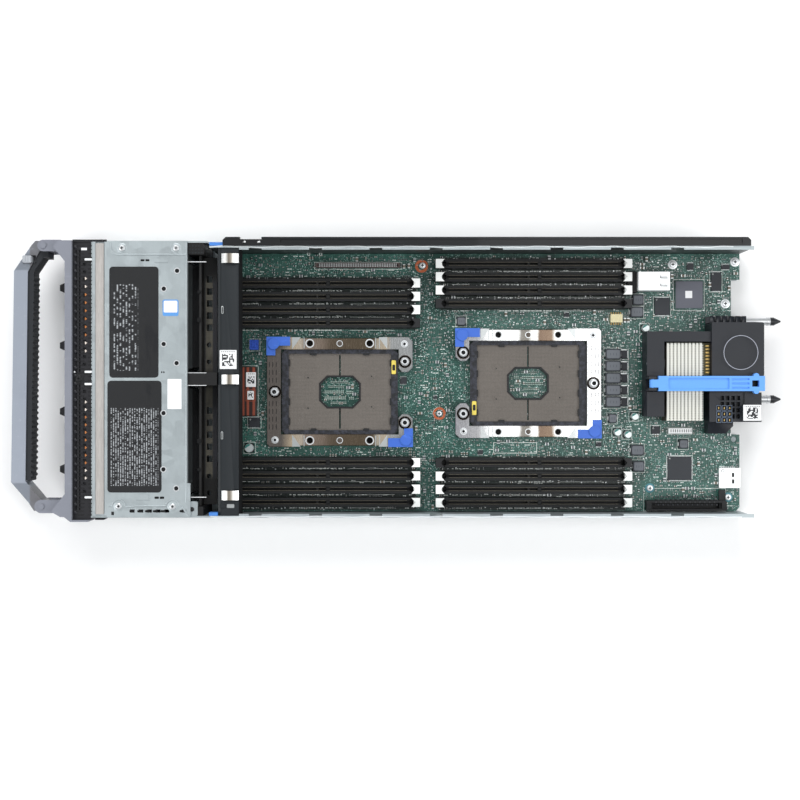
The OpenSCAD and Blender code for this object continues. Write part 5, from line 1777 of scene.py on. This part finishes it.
class BLADE_OT_bays(bpy.types.Operator):
    """What lies behind the drives: backplane, cross bar, clips, corner blocks and labels"""

    bl_idname = "blade.bays"
    bl_label = "Drive bays"

    def execute(self, context):
        slate = moulded("slate_bar", tone(28, 33, 37), rough=0.5, scuff=0.12)
        deep = moulded("bay_black", tone(16, 16, 17), rough=0.6, scuff=0.1)
        board = Finish("backplane_lacquer")
        grain = board.noise(5, detail=4, stretch=(1.0, 0.3, 1.0))
        fine = board.noise(0.6, detail=2)
        strip = board.within(board.x, -138.4, -133.4, 0.4)
        facing_drives = board.within(abs(board.y - 1.0), 5.5, 70.0, 2.0)
        colour = board.mix(strip, tone(44, 45, 52), tone(104, 100, 88))
        colour = board.mix(1 - facing_drives, colour, tone(22, 22, 22))
        colour = board.mix(board.band(grain, 0.45, 0.62) * 0.5, colour, tone(34, 33, 32))
        colour = board.mix(board.band(board.x, -138.6, -139.4), colour, tone(20, 20, 20))
        board.dress(board.shade(colour, 0.8 + 0.4 * fine), rough=0.5, height=fine, depth=0.03)
        coat_node("backplane", board)
        coat_node("corner_blocks", deep)
        low, high = span("front_bar")
        softened("cross_bar", "front_bar", "chassis", "slate_bar", lambda a, b: slate, 0.3).done()
        skirt = Piece("bar_details", slot="slate_bar")
        # A thin near-black sheet along the bar's rear face: painted shadow in the gap behind it.
        skirt.block((high.x - 0.05, low.y + 0.5, low.z), (high.x + 0.15, high.y - 0.5, high.z - 1.2), dark())
        spring = Finish("spring_steel")
        start, reach = -124.3, 12.0
        across = (spring.x - start) / reach
        # Painted reflections along each bowed clip: near-white highlights near both ends and a darker brown
        # band past the middle.
        stops = [(0.0, tone(244, 246, 246)), (0.22, tone(236, 236, 234)), (0.42, tone(120, 112, 100))]
        stops += [(0.56, tone(166, 158, 146)), (0.74, tone(240, 240, 238)), (1.0, tone(252, 252, 252))]
        hair = spring.noise(0.5, detail=3, stretch=(1.0, 0.1, 1.0))
        spring.dress(
            spring.shade(spring.ramp(across, stops), 0.85 + 0.3 * hair), 0.3, 0.4, height=hair, depth=0.01
        )
        clips = Piece("bowed_clips", slot="spring_steel", stands_for=("spring_clips",))
        for bottom, top in solids_of("spring_clips"):
            rings = []
            for i in range(15):
                share = i / 14
                x = start + reach * share
                z = bottom.z + 0.15 + 2.1 * math.sin(math.pi * share) ** 0.8
                rings.append(
                    [(x, bottom.y, z), (x, top.y, z), (x, top.y, z + 0.25), (x, bottom.y, z + 0.25)]
                )
            clips.skin(rings, spring)
            for x in (-123.6, -113.2):
                clips.lathe(x, (bottom.y + top.y) / 2, [(0.6, bottom.z), (0.6, bottom.z + 0.9)], steel(), 12)
        clips.done()
        lid = high.z
        for x, y in ((-123.7, 48.3), (-124.0, -39.1)):
            skirt.prism(rectangle(x - 0.8, y - 2.8, x + 0.8, y + 2.8, 0.8), lid, lid + 0.4, tin(), 0.15)
            skirt.prism(rectangle(x - 0.3, y - 2.2, x + 0.3, y + 2.2, 0.3), lid + 0.4, lid + 0.42, dark())
        coded_label(skirt, -125.6, 7.2, -113.8, 20.4, lid, "bay_code")
        white = moulded("white_trim_2", tone(236, 238, 240), rough=0.4)
        for y in (81.8, 4.5, -4.2, -82.1):
            skirt.rod([(-148.6, y, 46.1), (-134.8, y, 46.1)], 0.28, white, 6)
        for y0, y1 in ((40.2, 43.6), (-45.0, -41.5), (60.3, 62.6), (-64.4, -62.2)):
            skirt.block((-142.5, y0, 38.0), (-139.9, y1, 39.2), dark(), 0.2, 0.8)
        for i in range(14):
            x = -147.0 + (i % 5) * 2.1
            y = 87.6 + (i // 5) * 2.3
            skirt.block((x, y, 46.3), (x + 1.2, y + 1.1, 46.6), slate, 0.1)
        tab_top = WALL_TOP + 0.1
        skirt.block((-148.4, -95.4, 44.0), (-140.8, -85.0, tab_top), zinc(), 0.4, 1.2, 4)
        stud = [(1.6, tab_top), (1.6, tab_top + 0.4), (1.0, tab_top + 0.6)]
        skirt.lathe(-144.8, -90.4, stud, black(), 16)
        for x0, x1, finish in ((-125.6, -121.4, slate), (-120.6, -115.4, tin())):
            skirt.block((x0, -89.6, lid), (x1, -86.9, lid + 0.7), finish, 0.2, 0.4)
        skirt.done()
        touch = moulded("touch_tab", tone(70, 128, 206), rough=0.42, scuff=0.12)
        clip_blue = moulded("carrier_blue", tone(62, 104, 196), rough=0.38, mottle=0.12, scuff=0.25)

        def choose(low, _high):
            return touch if low.z > 30 else clip_blue

        softened("touch_set", "touch_points", "chassis", "blue_touch", choose, 0.3).done()
        return {"FINISHED"}


class BLADE_OT_drives(bpy.types.Operator):
    """The finish of the two sliding drives"""

    bl_idname = "blade.drives"
    bl_label = "Drives"

    def execute(self, context):
        shell = moulded("drive_black", tone(38, 39, 42), rough=0.45, scuff=0.16)
        for number in (1, 2):
            coat_node(f"drive_{number}", shell)
        return {"FINISHED"}


class BLADE_OT_fasteners(bpy.types.Operator):
    """Screws, cooler nuts, rivets and stand-offs"""

    bl_idname = "blade.fasteners"
    bl_label = "Fasteners"

    def execute(self, context):
        piece = Piece("fastener_set", slot="bright_fasteners", stands_for=("fasteners",))
        bright_steel = steel()
        burnt = bright("burnt_steel", tone(92, 84, 78), rough=0.4, metal=0.6)
        teal_ring = moulded("ring_teal", tone(70, 128, 140), rough=0.4)
        for low, high in solids_of("fasteners"):
            x, y = (low.x + high.x) / 2, (low.y + high.y) / 2
            radius = (high.x - low.x) / 2
            on_frame = abs(low.z - FRAME_TOP) < 0.5
            if high.z < BOARD_TOP - 0.6:
                # Stand-offs under the board
                neck = radius * 0.8
                profile = [(neck, low.z), (neck, high.z - 1), (radius, high.z - 0.9), (radius, high.z)]
                piece.lathe(x, y, profile, bright_steel, 6)
            elif low.z > 46 and high.x < -220:
                # The bezel's own screw
                piece.screw(x, y, low.z, radius * 0.86, black(), dark(), black(), 0.8)
            elif high.z - low.z > 3.9 and low.z > BOARD_TOP + 5:
                # Cooler nuts, and the cover's screws on their long shanks
                seat = FRAME_TOP + 0.1
                piece.hoop(x, y, radius + 1.0, 1.5, FRAME_TOP, FRAME_TOP + 0.2, burnt)
                profile = [(radius * 0.76, seat), (radius * 0.76, high.z - 0.5), (radius * 0.6, high.z)]
                profile += [(radius * 0.42, high.z), (radius * 0.42, seat)]
                piece.lathe(x, y, profile, bright_steel, 18, loop=True)
                piece.lathe(x, y, [(radius * 0.4, seat), (radius * 0.4, high.z - 0.8)], dark(), 6)
            elif on_frame and high.z < FRAME_TOP + 0.9:
                # Rivets of the processor frames
                profile = [(radius * 0.7, FRAME_TOP - 0.1), (radius * 0.7, FRAME_TOP + 0.12)]
                piece.hoop(x, y, radius, 0.5, FRAME_TOP, FRAME_TOP + 0.2, bright_steel)
                piece.lathe(x, y, profile + [(radius * 0.3, FRAME_TOP + 0.2)], burnt)
            elif on_frame:
                # Corner screws of the processor frames
                piece.hoop(x, y, radius, 0.7, FRAME_TOP, FRAME_TOP + 0.25, bright_steel)
                piece.screw(x, y, FRAME_TOP, radius * 0.72, bright_steel, dark(), height=0.8)
            else:
                # Board screws, with tinted washers along the near wall
                washer = teal_ring if y < -70 else bright_steel
                piece.screw(x, y, low.z, radius * 0.8, bright_steel, dark(), washer, 1.1)
        copper_ring = bright("ring_copper", tone(172, 92, 60), rough=0.4, metal=0.5)
        piece.hoop(15.6, 82.3, 4.7, 2.0, BOARD_TOP, BOARD_TOP + 0.3, copper_ring, 28)
        piece.screw(16.3, 82.8, BOARD_TOP, 2.3, bright_steel, dark(), None, 1.0)
        piece.hoop(28.4, -24.2, 4.6, 1.7, BOARD_TOP, BOARD_TOP + 0.3, copper_ring, 28)
        piece.screw(28.4, -24.2, BOARD_TOP, 2.0, bright_steel, dark(), None, 0.9)
        piece.done()
        return {"FINISHED"}


class BLADE_OT_rear(bpy.types.Operator):
    """Rear housing, fins, data connector, guide pins and the blue retention latch"""

    bl_idname = "blade.rear"
    bl_label = "Rear connector"

    def execute(self, context):
        housing = moulded("housing_black", tone(26, 29, 36), rough=0.42, scuff=0.16, gloss=0.4)
        softened("rear_shell", "rear_housing", "chassis", "black_housing", lambda a, b: housing, 0.35).done()
        softened("data_connector", "io_connector", "chassis", "black_io", lambda a, b: housing, 0.15).done()
        low, high = span("heat_fins")
        fins = Piece("fin_stack", slot="pale_fins", stands_for=("heat_fins",))
        pale = moulded("fin_cream", paint("fin"), rough=0.35, mottle=0.06, grain=0.4, metal=0.2)
        # A darker block under the fins: painted shade showing through the gaps between them.
        gap_shade = moulded("fin_gap", tone(58, 54, 46), rough=0.6)
        count = 10
        first, last = low.x + 1.0, high.x - 5.5
        fins.block((first, low.y, 9.7), (last, high.y, high.z - 2.2), gap_shade, 0.2)
        pitch = (last - first) / count
        for i in range(count):
            x = first + i * pitch + 0.3
            fins.block((x, low.y, high.z - 2.4), (x + pitch - 0.75, high.y, high.z), pale, 0.2)
            rows = int((high.y - low.y) / 1.7)
            for j in range(rows):
                y = low.y + 0.5 + j * 1.7
                corner = (x + pitch + 0.05, y + 0.75, high.z - 0.3)
                fins.block((x + pitch - 0.8, y, high.z - 2.3), corner, pale)
        comb = moulded("comb_olive", tone(92, 88, 62), rough=0.5)
        fins.block((last + 0.4, 3.0, 9.7), (high.x + 0.1, high.y, high.z - 2.5), comb, 0.3)
        for i in range(9):
            y = 4.6 + i * 2.35
            fins.block((last + 2.2, y, high.z - 2.6), (high.x - 0.4, y + 1.2, high.z - 1.4), gold(), 0.15)
        fins.done()
        pin = Finish("pin_steel")
        hair = pin.noise(0.5, detail=3, stretch=(0.2, 1.0, 1.0))
        tip = pin.band(pin.x, 264.2, 264.6)
        pin.dress(
            pin.mix(tip, pin.shade(tone(214, 216, 218), 0.75 + 0.4 * hair), tone(26, 28, 32)),
            rough=0.26 + 0.2 * hair,
            metal=0.85 * (1 - tip),
            height=hair,
            depth=0.01,
        )
        coat_node("guide_pins", pin)
        softened("latch_blue", "retention_latch", "retainer", "blue_latch", lambda a, b: blue(), 0.25).done()
        extra = Piece("rear_details", slot="black_housing")
        top = HOUSING_TOP
        ring = moulded("ring_grey", tone(156, 160, 172), rough=0.4)
        extra.hoop(239.8, 19.0, 12.2, 0.45, top - 0.02, top + 0.03, ring, 48)
        coded_label(extra, 241.4, -29.0, 254.2, -17.8, top, "rear_code")
        cell = moulded("cell_blue", tone(92, 104, 122), rough=0.4)
        z = span("io_connector")[1].z
        for i in range(3):
            for j in range(3):
                x, y = 224.6 + i * 3.9, -30.6 + j * 4.3
                outer = rectangle(x, y, x + 3.5, y + 3.9, 0.3, 1)
                extra.plate(outer, [grown(outer, -0.45)], z, z + 0.5, cell, 0.1)
                extra.prism(grown(outer, -0.45), z, z + 0.06, dark())
                extra.block((x + 1.5, y + 1.2, z + 0.06), (x + 2.0, y + 2.6, z + 0.3), gold())
        for y in (14.5, 6.2):
            extra.hoop(180.0, y, 2.2, 0.4, 28.0, 28.2, cell)
        extra.block((175.2, 8.0, 28.0), (188.0, 14.8, 28.8), black(), 0.3, 1.0, 2)
        extra.hoop(177.4, 11.4, 2.6, 0.8, 28.8, 29.6, ring)
        extra.lathe(177.4, 11.4, [(1.7, 28.8), (1.7, 29.2), (1.2, 29.4)], steel(), 16)
        extra.done()
        return {"FINISHED"}


class BLADE_OT_stage(bpy.types.Operator):
    """The pale floor, the soft light over the tray and the camera straight above it"""

    bl_idname = "blade.stage"
    bl_label = "Stage"

    def execute(self, context):
        scene = context.scene
        scene.view_settings.view_transform = "Standard"
        world = scene.world or bpy.data.worlds.new("Studio")
        scene.world = world
        world.use_nodes = True
        backdrop = world.node_tree.nodes["Background"]
        backdrop.inputs["Color"].default_value = (0.93, 0.97, 1.0, 1.0)
        backdrop.inputs["Strength"].default_value = 0.30
        mesh = bpy.data.meshes.new("floor")
        reach = 2.5
        corners = [(-reach, -reach, 0), (reach, -reach, 0), (reach, reach, 0), (-reach, reach, 0)]
        mesh.from_pydata(corners, [], [(0, 1, 2, 3)])
        pale = moulded("pale_floor", (0.98, 0.98, 0.98), 0.9, mottle=0.01, scuff=0.0)
        mesh.materials.append(pale.material)
        floor = bpy.data.objects.new("floor", mesh)
        floor.location.z = cad_box[0][2] - 0.0004
        scene.collection.objects.link(floor)
        for name, spot, wide, share in (
            ("soft_far", (-0.25, 1.05, 1.0), 0.9, 1.0),
            ("soft_left", (-1.1, -0.3, 0.95), 0.8, 0.75),
            ("soft_right", (1.15, -0.25, 1.0), 0.8, 0.9),
            ("soft_over", (0.40, 0.05, 1.35), 0.5, 0.2),
        ):
            data = bpy.data.lights.new(name, "AREA")
            data.shape = "SQUARE"
            data.size = wide
            data.energy = scene.blade_sizes.light * share
            lamp = bpy.data.objects.new(name, data)
            lamp.location = spot
            lamp.rotation_euler = Vector(spot).to_track_quat("Z", "Y").to_euler()
            scene.collection.objects.link(lamp)
        lens = bpy.data.cameras.new("camera")
        lens.sensor_width = 36.0
        lens.lens = 61.65
        camera = bpy.data.objects.new("camera", lens)
        camera.location = (0.0, -0.0144, 1.0)
        scene.collection.objects.link(camera)
        scene.camera = camera
        return {"FINISHED"}


OPERATORS = (
    BLADE_OT_sheet_metal,
    BLADE_OT_front,
    BLADE_OT_handle,
    BLADE_OT_seal,
    BLADE_OT_cover,
    BLADE_OT_bays,
    BLADE_OT_drives,
    BLADE_OT_board,
    BLADE_OT_processors,
    BLADE_OT_memory,
    BLADE_OT_power,
    BLADE_OT_chips,
    BLADE_OT_ports,
    BLADE_OT_rear,
    BLADE_OT_fasteners,
    BLADE_OT_small_parts,
    BLADE_OT_stage,
)


class BLADE_PT_sidebar(bpy.types.Panel):
    """Lists the tray's pieces in the sidebar"""

    bl_idname = "BLADE_PT_sidebar"
    bl_label = "Blade server tray"
    bl_space_type = "VIEW_3D"
    bl_region_type = "UI"
    bl_category = "Blade"

    def draw(self, context):
        layout = self.layout
        for group in (context.scene.blade_sizes, context.scene.blade_colours):
            column = layout.column(align=True)
            for key in group.bl_rna.properties.keys():
                if key not in {"rna_type", "name"}:
                    column.prop(group, key)
        for operator in OPERATORS:
            layout.operator(operator.bl_idname)


CLASSES = (BladeColours, BladeSizes, BLADE_PT_sidebar) + OPERATORS


def register():
    """Registers the classes and hangs the two property groups on the scene."""
    for item in CLASSES:
        bpy.utils.register_class(item)
    bpy.types.Scene.blade_colours = bpy.props.PointerProperty(type=BladeColours)
    bpy.types.Scene.blade_sizes = bpy.props.PointerProperty(type=BladeSizes)


def unregister():
    """Takes the property groups and classes away again."""
    del bpy.types.Scene.blade_sizes
    del bpy.types.Scene.blade_colours
    for item in reversed(CLASSES):
        bpy.utils.unregister_class(item)


def main():
    """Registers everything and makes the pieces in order."""
    register()
    for operator in OPERATORS:
        group, name = operator.bl_idname.split(".")
        getattr(getattr(bpy.ops, group), name)()


if __name__ == "__main__":
    main()
